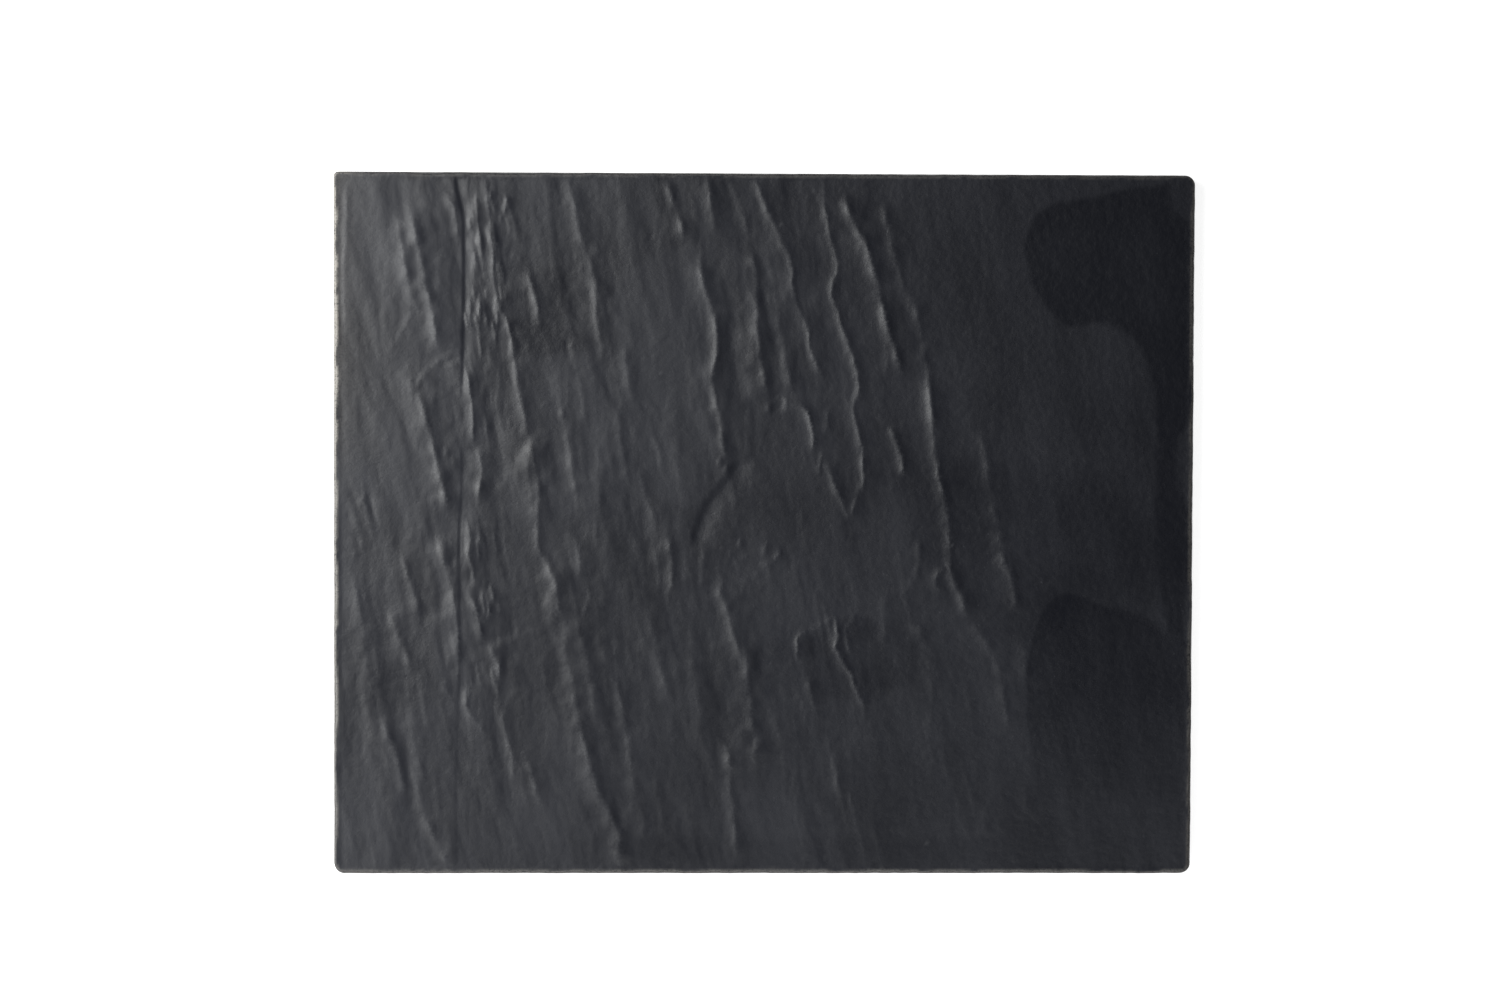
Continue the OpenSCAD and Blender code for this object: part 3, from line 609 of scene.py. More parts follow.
def inside(x, y, outline):
    """Which places lie inside a closed outline."""
    within = np.zeros(x.shape, bool)
    for (x0, y0), (x1, y1) in zip(outline[:-1], outline[1:]):
        if y0 != y1:
            crosses = (y0 > y) != (y1 > y)
            within ^= crosses & (x < x0 + (y - y0) * (x1 - x0) / (y1 - y0))
    return within


# How many cells the noise has each way before it repeats
NOISE_CELLS = 128


def lattice_noise(x, y, width, seed):
    """Smooth noise from -1 to 1 that changes over a width."""
    values = np.random.default_rng(seed).uniform(-1, 1, (NOISE_CELLS, NOISE_CELLS))
    column = np.floor(x / width).astype(int)
    row = np.floor(y / width).astype(int)
    right = smooth_step(x / width - column)
    up = smooth_step(y / width - row)

    def corner(rows, columns):
        """Value at a corner of the cell that each place lies in."""
        return values[(row + rows) % NOISE_CELLS, (column + columns) % NOISE_CELLS]

    low = corner(0, 0) + right * (corner(0, 1) - corner(0, 0))
    high = corner(1, 0) + right * (corner(1, 1) - corner(1, 0))
    return low + up * (high - low)


def layered_noise(x, y, layers, seed):
    """Noise in layers, each with its own amount and width."""
    return sum(amount * lattice_noise(x, y, width, seed + k) for k, (amount, width) in enumerate(layers))


# How clefts and grooves wander and wear: how much, and over what width
WANDER = ((0.5 * MM, 13 * MM), (0.4 * MM, 2.9 * MM))
WEAR = ((0.4, 11 * MM), (0.4, 4.5 * MM))
# How the ends of grooves die away
GROOVE_FADE = 5 * MM
# How a cleft's climb steepens towards its crest
CLIMB_POWER = 2.4
# How quickly a cleft falls on its right, as a share of its ramp and at the least
FALL_SHARE = 0.7
FALL_LEAST = 1.0 * MM
# How much of a cleft's slope belongs to its broad apron, and how many times wider that is
APRON_SHARE = 0.3
APRON_WIDTH = 2.4
# How far to the side a cleft is worked out, in widths of its apron, with a margin for its wander
APRON_REACH = 2
WANDER_MARGIN = 3 * MM
# How far a groove, a spot or the lip of a leaf is worked out, in its widths
MARK_REACH = 3
# The most of its length that each end of a cleft or groove dies away over
END_SHARE = 0.25
# How far crumbs, painted pale as a highlight on the lit climb of a crest, lie behind the crest, and the grade
# of a crest that they cover
CRUMB_AND_HIGHLIGHT_FADE = 0.5 * MM
CRUMB_AND_HIGHLIGHT_GRADE = 5


def climb(signed, ramp):
    """How far up a crest each place on its left is, from 0 to 1."""
    return np.clip(1 + signed / ramp, 0, 1) ** CLIMB_POWER


def crest_rise(signed, ramp):
    """Height of a crest that climbs from its left at a slope of 1 and falls off on its right."""
    fall = np.exp(-np.maximum(signed, 0) / max(FALL_SHARE * ramp, FALL_LEAST))
    return ramp / CLIMB_POWER * np.where(signed < 0, climb(signed, ramp), fall)


class Face:
    """The riven face on a grid of places: its height over the mean level, and what marks it."""

    def __init__(self, x, y, level, seed):
        self.x = x
        self.y = y
        self.level = level
        self.bent_x = x + layered_noise(x, y, WANDER, seed)
        self.worn = 1 + layered_noise(x, y, WEAR, seed + len(WANDER))
        self.height = np.zeros(x.shape)
        self.crest = np.zeros(x.shape)
        self.pale = np.zeros(x.shape)
        self.calm = np.zeros(x.shape)
        self.speck = np.zeros(x.shape)

    def _window(self, points, margin):
        """Rows and columns of the grid that lie within a margin of some points."""
        low = points.min(axis=0) - margin
        high = points.max(axis=0) + margin
        middle_row = self.x[self.x.shape[0] // 2]
        columns = np.flatnonzero((middle_row > low[0]) & (middle_row < high[0]))
        rows = np.flatnonzero((self.y[:, 0] > low[1]) & (self.y[:, 0] < high[1]))
        return np.ix_(rows, columns)

    def _beside(self, route, margin, fade, straight=False):
        """The part of the grid beside a route, its signed distance, and how much is left near the ends."""
        part = self._window(route, margin)
        x = self.x if straight else self.bent_x
        signed, along, length = distances(x[part], self.y[part], route)
        ends = smooth_step(np.minimum(along, length - along) / min(fade, END_SHARE * length))
        return part, signed, ends

    def raise_cleft(self, cleft, relief):
        """Adds a crest that climbs from its left and breaks off on its right."""
        route = softened(on_face(cleft.route_px, self.level))
        ramp = cleft.ramp_mm * MM
        apron = APRON_WIDTH * ramp
        margin = APRON_REACH * apron + WANDER_MARGIN
        part, signed, ends = self._beside(route, margin, cleft.fade_mm * MM)
        rise = (1 - APRON_SHARE) * crest_rise(signed, ramp) + APRON_SHARE * crest_rise(signed, apron)
        share = 0.5 + route[:, 0].mean() / (2 * SLAB_HALF_WIDTH)
        slope = cleft.grade * (GRADE_SLOPE_LEFT + share * (GRADE_SLOPE_RIGHT - GRADE_SLOPE_LEFT))
        worn = ends * self.worn[part]
        self.height[part] += relief * slope * worn * rise
        # The crest mark paints a highlight of pale crumbs on each crest's lit climb, more for a higher grade
        behind = np.exp(-np.maximum(signed, 0) / CRUMB_AND_HIGHLIGHT_FADE)
        crumbs_and_highlight = worn * np.where(signed < 0, climb(signed, ramp), behind)
        self.crest[part] = np.maximum(self.crest[part], cleft.grade / CRUMB_AND_HIGHLIGHT_GRADE * crumbs_and_highlight)

    def cut_groove(self, groove, relief):
        """Cuts a rounded groove along a route, with a wider wall on its right."""
        route = softened(on_face(groove.route_px, self.level))
        wall = groove.wall_mm * MM
        margin = MARK_REACH * wall * groove.lean
        part, signed, ends = self._beside(route, margin, GROOVE_FADE, groove.straight)
        width = np.where(signed < 0, wall, wall * groove.lean)
        self.height[part] -= relief * groove.depth_mm * MM * ends * np.exp(-(signed / width) ** 2)

    def add_spot(self, field, pixel, radius, amount):
        """Adds a round spot to one of the face's fields."""
        middle = on_face([pixel], self.level)
        part = self._window(middle, MARK_REACH * radius)
        distance = np.hypot(self.x[part] - middle[0, 0], self.y[part] - middle[0, 1])
        field[part] += amount * np.exp(-(distance / radius) ** 2)

    def lay_leaf(self, leaf, relief):
        """Sinks, shades and smooths the face inside a leaf's outline, with a soft lip."""
        outline = on_face(leaf.outline_px + leaf.outline_px[:1], self.level)
        lip = leaf.lip_mm * MM
        part = self._window(outline, MARK_REACH * lip)
        x, y = self.x[part], self.y[part]
        off = np.abs(distances(x, y, outline)[0])
        share = smooth_step(0.5 + np.where(inside(x, y, outline), off, -off) / (2 * lip))
        if leaf.dies_px:
            column = leaf.outline_px[0][0]
            start, end = on_face([(column, row) for row in leaf.dies_px], self.level)[:, 1]
            share *= 1 - smooth_step((y - start) / (end - start))
        self.height[part] -= relief * leaf.sink_mm * MM * share
        self.pale[part] += leaf.pale * share
        self.calm[part] = np.maximum(self.calm[part], leaf.calm * share)


def scattered_clefts(splinters, random):
    """Short clefts along the grain, at random places."""
    for _ in range(splinters.count):
        start = random.uniform(splinters.low_px, splinters.high_px)
        length = splinters.length_px * random.uniform(*SPLINTER_SPREAD)
        turn = GRAIN_SLANT_DEG + random.uniform(-SPLINTER_TURN_DEG, SPLINTER_TURN_DEG)
        step = length * np.array([math.sin(math.radians(turn)), math.cos(math.radians(turn))])
        grade = splinters.grade * random.uniform(*SPLINTER_SPREAD)
        yield Cleft(grade, splinters.ramp_mm, (start, start + step / 2, start + step))


def rive(face, relief, seed):
    """Works the clefts, grooves, leaves and marks of the stone into a face."""
    random = np.random.default_rng(seed)
    scattered = [cleft for splinters in SPLINTERS for cleft in scattered_clefts(splinters, random)]
    for cleft in (*CLEFTS, *scattered):
        face.raise_cleft(cleft, relief)
    for groove in GROOVES:
        face.cut_groove(groove, relief)
    for leaf in LEAVES:
        face.lay_leaf(leaf, relief)
    for pixel in NUBS_PX:
        face.add_spot(face.height, pixel, NUB_RADIUS_MM * MM, NUB_HEIGHT_MM * MM)
    for pixel in SPECKS_PX:
        face.add_spot(face.speck, pixel, SPECK_RADIUS_MM * MM, SPECK_STRENGTH)


# The slab's mesh

# How many lines of the riven face there are to each line of the underside, and rows down the edge
UNDER_STEP = 6
WALL_ROWS = 3
# The mesh lines round the arris, as angles, and how many follow to the end of a corner
ARRIS_ANGLES_DEG = (0, 22.5, 45, 67.5, 90)
CORNER_LINES = 3
# Where the relief dies away towards the edges, as a share of the arris, and over what width
FADE_START = 0.6
FADE_BAND = 2.5 * MM
# How far the underside's mesh stands back from the bevel
UNDER_MARGIN = 2 * MM
# Where the smooth right-hand side begins, as a share of the half width
PLAIN_SHARE = 0.65
# How far the finely meshed strip reaches to the left and to the right of the seam
SEAM_MARGIN = 1.5 * MM
BROKEN_BAND = 18 * MM
# The ends of the hook and of the arched crests, in the photograph's pixels, between which the mesh is fine
ARCH_SPAN_PX = ((790, 500), (868, 500))
# Where across the slab the ripples begin and cease to die away to the right, and by how much they do
CALM_FROM = -0.05
CALM_TO = 0.12
CALM_SHARE = 0.8
# How the dressed edges are chipped: shares of the arris radius, and depths of the wall, over what width
ARRIS_CHIPS = ((0.35, 9 * MM), (0.3, 2.5 * MM))
WALL_CHIPS = ((0.16 * MM, 11 * MM), (0.14 * MM, 3.5 * MM))
# How far the rubbing of the arris, with its painted highlight, reaches, in its radii, and how rubbed the
# dressed edges are
RUBBED_AND_HIGHLIGHT_FROM = 0.8
RUBBED_AND_HIGHLIGHT_TO = 1.4
EDGE_RUBBED = 0.15
# How pale each side's arris is painted, the left one at its back and at its front, and how sides blend:
# rubbing on every side, and on the lit left side mostly a painted highlight
LEFT_RUBBED_AND_HIGHLIGHT = (0.95, 0.22)
RIGHT_RUBBED = 0.22
FRONT_RUBBED = 0.22
BACK_RUBBED = 0.15
SIDE_BLEND = 3 * MM
# The painted highlight along the left edge, where the light falls strongest: how pale it is, how far it
# reaches in, and over what share of the back half it comes up
LEFT_EDGE_HIGHLIGHT = 0.17
LEFT_EDGE_HIGHLIGHT_WIDTH = 5.5 * MM
LEFT_EDGE_HIGHLIGHT_SHARE = 0.5
# The hollows of the underside: their depth, the waves that make them across and along the slab, in radians
# to the metre, and by how much, with which waves, each bends
HOLLOW_DEPTH = 0.09 * MM
WAVES_ACROSS = 95
WAVES_ALONG = 23
BEND_ACROSS = (2.2, 31)
BEND_ALONG = (1.7, 41)
WAVES_SHIFT = 0.6
# The flats that they leave: round each foot, in its radii, and along the edges, with the width of their fade
FOOT_FLAT = 1.3
EDGE_FLAT = 4 * MM
EDGE_FLAT_FADE = 6 * MM


def edge_insets(settings):
    """Insets of mesh lines behind an edge: round the arris, then on to the end of the corner."""
    arris = [settings.arris_radius * (1 - math.cos(math.radians(angle))) for angle in ARRIS_ANGLES_DEG]
    corner = np.linspace(settings.arris_radius, settings.corner_radius, CORNER_LINES + 1)[1:]
    return np.array([*arris, *corner])


def mesh_lines(half, insets, knots, pitches):
    """Places of mesh lines from one edge to the other, a whole number of underside steps in all."""
    stops = np.array([insets[-1] - half, *knots, half - insets[-1]])
    counts = [max(1, round(span / pitch)) for span, pitch in zip(np.diff(stops), pitches)]
    spare = (2 * len(insets) - 2 + sum(counts)) % UNDER_STEP
    counts[0] -= spare
    inner = [np.linspace(start, end, count, endpoint=False)
             for start, end, count in zip(stops[:-1], stops[1:], counts)]
    return np.concatenate([insets[:-1] - half, *inner, half - insets[::-1]])


def corner_radii(x, y, settings):
    """Radius of the corner that each place is nearest to."""
    return np.where((x < 0) & (y > 0), settings.back_left_radius, settings.corner_radius)


def edge_distance(x, y, settings):
    """Distance of each place from the slab's outline, counted inwards."""
    radius = corner_radii(x, y, settings)
    over_x = np.abs(x) - SLAB_HALF_WIDTH + radius
    over_y = np.abs(y) - SLAB_HALF_DEPTH + radius
    past = np.hypot(np.maximum(over_x, 0), np.maximum(over_y, 0))
    return radius - past - np.minimum(np.maximum(over_x, over_y), 0)


def side_rubbing_and_highlight(x, y):
    """How pale the arris of the nearest side is painted: rubbing, and on the lit left side a painted
    highlight.
    """
    forward = 0.5 - y / (2 * SLAB_HALF_DEPTH)
    left = LEFT_RUBBED_AND_HIGHLIGHT[0] + forward * (LEFT_RUBBED_AND_HIGHLIGHT[1] - LEFT_RUBBED_AND_HIGHLIGHT[0])
    sides = ((SLAB_HALF_WIDTH + x, left), (SLAB_HALF_WIDTH - x, RIGHT_RUBBED),
             (SLAB_HALF_DEPTH + y, FRONT_RUBBED), (SLAB_HALF_DEPTH - y, BACK_RUBBED))
    nearness = [np.exp(-distance / SIDE_BLEND) for distance, _ in sides]
    return sum(near * amount for near, (_, amount) in zip(nearness, sides)) / sum(nearness)


def left_edge_highlight(x, y):
    """The painted highlight along the back half of the left edge, where the light falls strongest."""
    inward = np.exp(-(SLAB_HALF_WIDTH + x) / LEFT_EDGE_HIGHLIGHT_WIDTH)
    return LEFT_EDGE_HIGHLIGHT * inward * smooth_step(y / (LEFT_EDGE_HIGHLIGHT_SHARE * SLAB_HALF_DEPTH))


def slab_grid(settings):
    """Places of the riven face's mesh, drawn in at the corners."""
    insets = edge_insets(settings)
    seam = on_face(GROOVES[0].route_px, SLAB_HIGH.z)[:, 0]
    arch = on_face(ARCH_SPAN_PX, SLAB_HIGH.z)[:, 0]
    knots = [seam.min() - SEAM_MARGIN, seam.max() + BROKEN_BAND, *arch, PLAIN_SHARE * SLAB_HALF_WIDTH]
    pitches = [settings.fine_pitch, settings.seam_pitch, settings.fine_pitch, settings.seam_pitch,
               settings.fine_pitch, settings.plain_pitch]
    columns = mesh_lines(SLAB_HALF_WIDTH, insets, knots, pitches)
    rows = mesh_lines(SLAB_HALF_DEPTH, insets, [], [settings.row_pitch])
    x, y = np.meshgrid(columns, rows)
    radius = corner_radii(x, y, settings)
    over_y = np.maximum(np.abs(y) - SLAB_HALF_DEPTH + radius, 0)
    half = SLAB_HALF_WIDTH - radius + np.sqrt(np.maximum(radius ** 2 - over_y ** 2, 0))
    straight = SLAB_HALF_WIDTH - 2 * settings.corner_radius
    squeeze = (half - straight) / (SLAB_HALF_WIDTH - straight)
    outer = np.abs(x) > straight
    x = np.where(outer, np.sign(x) * (straight + (np.abs(x) - straight) * squeeze), x)
    return x, y


def rim_loop(rows, columns):
    """Grid indices round the rim, anticlockwise from the front left corner."""
    index = np.arange(rows * columns).reshape(rows, columns)
    front = index[0, :-1]
    right = index[:-1, -1]
    back = index[-1, :0:-1]
    left = index[:0:-1, 0]
    return np.concatenate([front, right, back, left])


def grid_faces(rows, columns, start=0):
    """Quads between the points of a grid."""
    index = start + np.arange(rows * columns).reshape(rows, columns)
    corners = [index[:-1, :-1], index[:-1, 1:], index[1:, 1:], index[1:, :-1]]
    return np.stack(corners, axis=-1).reshape(-1, 4).tolist()


def strip_faces(upper, lower):
    """Quads between two loops of as many points."""
    return np.stack([upper, np.roll(upper, -1), np.roll(lower, -1), lower], axis=-1).tolist()


def stitch_faces(fine, coarse):
    """Triangles between a fine loop and a loop with one point for each underside step."""
    ratio = len(fine) // len(coarse)
    faces = []
    for k, start in enumerate(coarse):
        end = coarse[(k + 1) % len(coarse)]
        run = [fine[(k * ratio + j) % len(fine)] for j in range(ratio + 1)]
        half = ratio // 2
        faces += [(run[j], run[j + 1], start if j < half else end) for j in range(ratio)]
        faces.append((start, run[half], end))
    return faces


def underside_height(x, y, settings):
    """Shallow hollows of the underside, which leave flats round the feet and along the edges."""
    across = x * WAVES_ACROSS + BEND_ACROSS[0] * np.sin(y * BEND_ACROSS[1])
    along = y * WAVES_ALONG + BEND_ALONG[0] * np.sin(x * BEND_ALONG[1]) + WAVES_SHIFT
    hollow = HOLLOW_DEPTH * (1 + np.sin(across) * np.sin(along))
    for node in FOOT_NODES:
        low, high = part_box(node)
        middle = (low + high) / 2
        reach = (high.x - low.x) / 2
        hollow *= smooth_step((np.hypot(x - middle.x, y - middle.y) - FOOT_FLAT * reach) / reach)
    return hollow * smooth_step((edge_distance(x, y, settings) - EDGE_FLAT) / EDGE_FLAT_FADE)


def underside_grid(x, y, settings):
    """Points of the underside, below some lines of the riven face and drawn in from the bevel."""
    shrink_x = 1 - (settings.bevel_width + UNDER_MARGIN) / SLAB_HALF_WIDTH
    shrink_y = 1 - (settings.bevel_width + UNDER_MARGIN) / SLAB_HALF_DEPTH
    under_x = x[::UNDER_STEP, ::UNDER_STEP] * shrink_x
    under_y = y[::UNDER_STEP, ::UNDER_STEP] * shrink_y
    under_z = SLAB_LOW.z + underside_height(under_x, under_y, settings)
    return np.stack([under_x, under_y, under_z], axis=-1)


def wall_loops(rim, out, settings):
    """Loops of points down the dressed edge, from below the arris to the bevel, with shallow chips."""
    steps = np.linalg.norm(np.diff(rim[:, :2], axis=0), axis=1)
    around = np.concatenate([[0], np.cumsum(steps)])
    bottom = SLAB_LOW.z + settings.bevel_width
    loops = []
    for row in range(1, WALL_ROWS):
        loop = rim.copy()
        loop[:, 2] += row / WALL_ROWS * (bottom - rim[:, 2])
        chips = np.maximum(layered_noise(around, loop[:, 2], WALL_CHIPS, settings.seed + row), 0)
        loop[:, :2] -= chips[:, None] * out
        loops.append(loop)
    lowest = rim.copy()
    lowest[:, 2] = bottom
    return [*loops, lowest]


def closed_shell(x, y, z, settings):
    """Points and faces of the riven face, the dressed edge, the bevel and the underside."""
    top = np.stack([x, y, z], axis=-1).reshape(-1, 3)
    rim = rim_loop(*x.shape)
    out = rim_outward(top[rim], settings)
    edge = wall_loops(top[rim], out, settings)
    edge.append(edge[-1] - settings.bevel_width * np.column_stack([out, np.ones(len(rim))]))
    under = underside_grid(x, y, settings)
    under_rows, under_columns, _ = under.shape

    edge_loops = [len(top) + k * len(rim) + np.arange(len(rim)) for k in range(len(edge))]
    under_start = len(top) + len(edge) * len(rim)
    under_loop = under_start + rim_loop(under_rows, under_columns)
    faces = grid_faces(*x.shape)
    for upper, lower in zip([rim, *edge_loops], edge_loops):
        faces += strip_faces(upper, lower)
    faces += stitch_faces(edge_loops[-1].tolist(), under_loop.tolist())
    faces += grid_faces(under_rows, under_columns, start=under_start)
    return np.concatenate([top, *edge, under.reshape(-1, 3)]), faces


def slab_mesh(settings):
    """The slab as one closed mesh, with the marks of its face as attributes."""
    x, y = slab_grid(settings)
    level = SLAB_LOW.z + settings.thickness
    inset = np.maximum(edge_distance(x, y, settings), 0)
    arris = settings.arris_radius * (1 + layered_noise(x, y, ARRIS_CHIPS, settings.seed))
    face = Face(x, y, level, settings.seed)
    rive(face, settings.relief, settings.seed)
    face.height -= face.height.mean()
    fade = smooth_step((inset - FADE_START * settings.arris_radius) / FADE_BAND)
    round_off = arris - np.sqrt(np.maximum(arris ** 2 - np.maximum(arris - inset, 0) ** 2, 0))
    z = level + fade * face.height - round_off
    points, faces = closed_shell(x, y, z, settings)
    mesh = bpy.data.meshes.new("riven_slab")
    mesh.from_pydata(points.tolist(), [], faces)
    turn_outwards(mesh)

    # Rubbing of the arris and of the dressed edges, with a painted highlight on the lit left arris and along
    # the back of the left edge
    rubbed = 1 - smooth_step((inset - RUBBED_AND_HIGHLIGHT_FROM * arris) / ((RUBBED_AND_HIGHLIGHT_TO - RUBBED_AND_HIGHLIGHT_FROM) * arris))
    rubbed = rubbed * side_rubbing_and_highlight(x, y) + left_edge_highlight(x, y)
    right = smooth_step((x - CALM_FROM) / (CALM_TO - CALM_FROM))
    riven = fade * (1 - face.calm) * (1 - CALM_SHARE * right)
    marks = {"pale": face.pale, "speck": face.speck, "rubbed": rubbed, "riven": riven,
             "crest": fade * face.crest}
    for name, mark in marks.items():
        values = np.full(len(points), EDGE_RUBBED if name == "rubbed" else 0.0)
        values[:mark.size] = mark.reshape(-1)
        mesh.attributes.new(name, "FLOAT", "POINT").data.foreach_set("value", values)
    return mesh


def rim_outward(points, settings):
    """Directions that point out of the slab at points of its outline."""
    radius = corner_radii(points[:, 0], points[:, 1], settings)
    over = np.abs(points[:, :2]) - np.array([SLAB_HALF_WIDTH, SLAB_HALF_DEPTH]) + radius[:, None]
    out = np.sign(points[:, :2]) * np.maximum(over, 0)
    return out / np.linalg.norm(out, axis=1)[:, None]


def turn_outwards(mesh):
    """Makes all faces of a closed mesh point outwards."""
    shape = bmesh.new()
    shape.from_mesh(mesh)
    bmesh.ops.recalc_face_normals(shape, faces=shape.faces)
    shape.to_mesh(mesh)
    shape.free()


# Ripples and grain of the face, as geometry nodes

# The waves of the face: the input that sets their width, their detail, and how far they lie from the seed
Waves = namedtuple("Waves", "width detail shift")
RIPPLES = Waves("Ripple width", 3.5, 0.0)
STEPS = Waves("Step width", 2.0, 3.1)
GRAIN = Waves("Grain width", 1.0, 7.3)
NOISE_MIDDLE = 0.5
# How many thin leaves lie between the lowest and the highest, and over which share of a leaf it steps up
LEAF_LEVELS = 12
LEAF_RISER = (0.25, 0.75)
# The inputs of the tree, and the settings that they take
TREE_INPUTS = {
    "Ripple height": "ripple_height", "Ripple width": "ripple_width", "Step height": "step_height",
    "Step width": "step_width", "Grain height": "grain_height", "Grain width": "grain_width",
    "Stretch": "stretch", "Lean": "lean", "Seed": "seed",
}


def ripple_tree(material):
    """A tree that lifts the riven face by ripples and grain that run along the cleavage."""
    tree = bpy.data.node_groups.new("Ripples and grain", "GeometryNodeTree")
    tree.interface.new_socket("Geometry", in_out="INPUT", socket_type="NodeSocketGeometry")
    for name in TREE_INPUTS:
        tree.interface.new_socket(name, in_out="INPUT", socket_type="NodeSocketFloat")
    tree.interface.new_socket("Geometry", in_out="OUTPUT", socket_type="NodeSocketGeometry")
    graph = Graph(tree)
    entry = graph.add("NodeGroupInput")
    given = {name: entry.also(name) for name in ("Geometry", *TREE_INPUTS)}
    place = graph.add("GeometryNodeInputPosition")
    turned = graph.add("ShaderNodeVectorRotate", {"rotation_type": "Z_AXIS"},
                       {"Vector": place, "Angle": math.radians(-GRAIN_SLANT_DEG)})
    across = graph.add("ShaderNodeSeparateXYZ", {}, {"Vector": turned}, output="X")
    along = across.also("Y") / given["Stretch"]

    def heave(waves, drift=0.0):
        """How far some waves rise or fall, after a drift across the grain."""
        drifted = graph.add("ShaderNodeCombineXYZ", {}, {"X": across - drift, "Y": along})
        noise = graph.add("ShaderNodeTexNoise", {"noise_dimensions": "4D"},
                          {"Vector": drifted, "W": given["Seed"] + waves.shift,
                           "Scale": 1.0 / given[waves.width], "Detail": waves.detail})
        return noise - NOISE_MIDDLE

    upright = heave(RIPPLES)
    leaning = heave(RIPPLES, drift=upright * given["Lean"] * given["Ripple width"])
    leaves = heave(STEPS, drift=leaning * given["Step width"]) * LEAF_LEVELS
    level = graph.add("ShaderNodeMath", {"operation": "FLOOR"}, {"Value": leaves})
    steps = level + graph.band(leaves - level, LEAF_RISER)
    grain = heave(GRAIN)
    mask = graph.add("GeometryNodeInputNamedAttribute", {"data_type": "FLOAT"}, {"Name": "riven"})
    lift = leaning * given["Ripple height"] + steps * given["Step height"] + grain * given["Grain height"]
    offset = graph.add("ShaderNodeCombineXYZ", {}, {"Z": lift * mask})
    moved = graph.add("GeometryNodeSetPosition", {}, {"Geometry": given["Geometry"], "Offset": offset})
    smooth = graph.add("GeometryNodeSetShadeSmooth", {}, {"Geometry": moved, "Shade Smooth": True})
    real = graph.add("GeometryNodeRealizeInstances", {}, {"Geometry": smooth})
    dressed = graph.add("GeometryNodeSetMaterial", {}, {"Geometry": real, "Material": material})
    graph.add("NodeGroupOutput", {}, {"Geometry": dressed})
    return tree


def grow_ripples(piece, tree, settings):
    """Runs the tree on a piece and keeps its result as a plain mesh."""
    modifier = piece.modifiers.new("Ripples and grain", "NODES")
    modifier.node_group = tree
    keys = {item.name: item.identifier for item in tree.interface.items_tree if item.in_out == "INPUT"}
    for name, setting in TREE_INPUTS.items():
        modifier[keys[name]] = float(getattr(settings, setting))
    depsgraph = bpy.context.evaluated_depsgraph_get()
    plain = bpy.data.meshes.new_from_object(
        piece.evaluated_get(depsgraph), preserve_all_data_layers=True, depsgraph=depsgraph)
    piece.modifiers.remove(modifier)
    piece.data = plain
    plain.name = piece.name


# Materials

# The marks of the face that the slate reads
MARKS = ("pale", "speck", "rubbed", "riven", "crest")
# The patterns of the slate, of the rubber and of the adhesive film
CLOUD = Pattern(16.0, 3.0)
STREAK = Pattern(170.0, 4.0, 0.6)
GRIT = Pattern(1500.0, 2.0)
CRUMBS = Pattern(800.0, 2.0)
ROUGH_GRAIN = Pattern(340.0, 4.0)
DUST = Pattern(420.0, 4.0)
MOULDING = Pattern(4200.0, 2.0)
FILM = Pattern(900.0, 3.0)
# How many times longer than wide the slate's streaks are, and how many flecks it has to the metre
STREAK_STRETCH = 6.0
FLECK_SCALE = 260.0
# How much streaks, clouds and pale leaves shade the stone, and the span from its dark to its light colour
STREAK_SHADE = 0.35
CLOUD_SHADE = 0.65
PALE_SHADE = 0.2
SHADE_SPAN = (0.25, 0.75)
# How much rubbed places with their painted highlight, flecks, and crumbs with their painted highlight on
# crests cover, and the spans of the patterns over which they come up
RUBBED_AND_HIGHLIGHT_COVER = 0.8
RUBBED_AND_HIGHLIGHT_SPAN = (0.2, 0.55)
FLECK_COVER = 0.05
FLECK_SPAN = (0.10, 0.04)
FLECK_CLOUD_SPAN = (0.5, 0.62)
CRUMB_AND_HIGHLIGHT_COVER = 0.06
CRUMB_AND_HIGHLIGHT_SPAN = (0.48, 0.64)
# How rough the oiled stone is at the least, and what each pattern and the pale leaves add
SLATE_ROUGH = 0.225
CLOUD_ROUGH = 0.15
STREAK_ROUGH = 0.1
GRAIN_ROUGH = 0.12
GRIT_ROUGH = 0.06
PALE_ROUGH = 0.08
# The depth of the stone's fine relief, and the shares of it: the grain's, what the grain loses where the
# stone is riven, the grit's, and the crumbs' on crests and on rubbed places
RELIEF_DEPTH = 0.10 * MM
GRAIN_RELIEF = 2.2
RIVEN_RELIEF = 1.1
GRIT_RELIEF = 0.3
CREST_RELIEF = 0.5
RUBBED_RELIEF = 1.5
SLATE_SPECULAR = 0.6
# The dust on the rubber, how rough it and the rubber are, and the grain of the mould
DUST_SPAN = (0.5, 0.8)
DUST_COVER = 0.3
RUBBER_ROUGH = 0.72
DUST_ROUGH = 0.16
MOULDING_STRENGTH = 0.3
MOULDING_DEPTH = 0.05 * MM
# The clouds in the adhesive, how dark it is between them, and how rough the film is
FILM_SPAN = (0.3, 0.7)
FILM_SHADE = 0.75
FILM_ROUGH = 0.45
FILM_CLOUD_ROUGH = 0.2


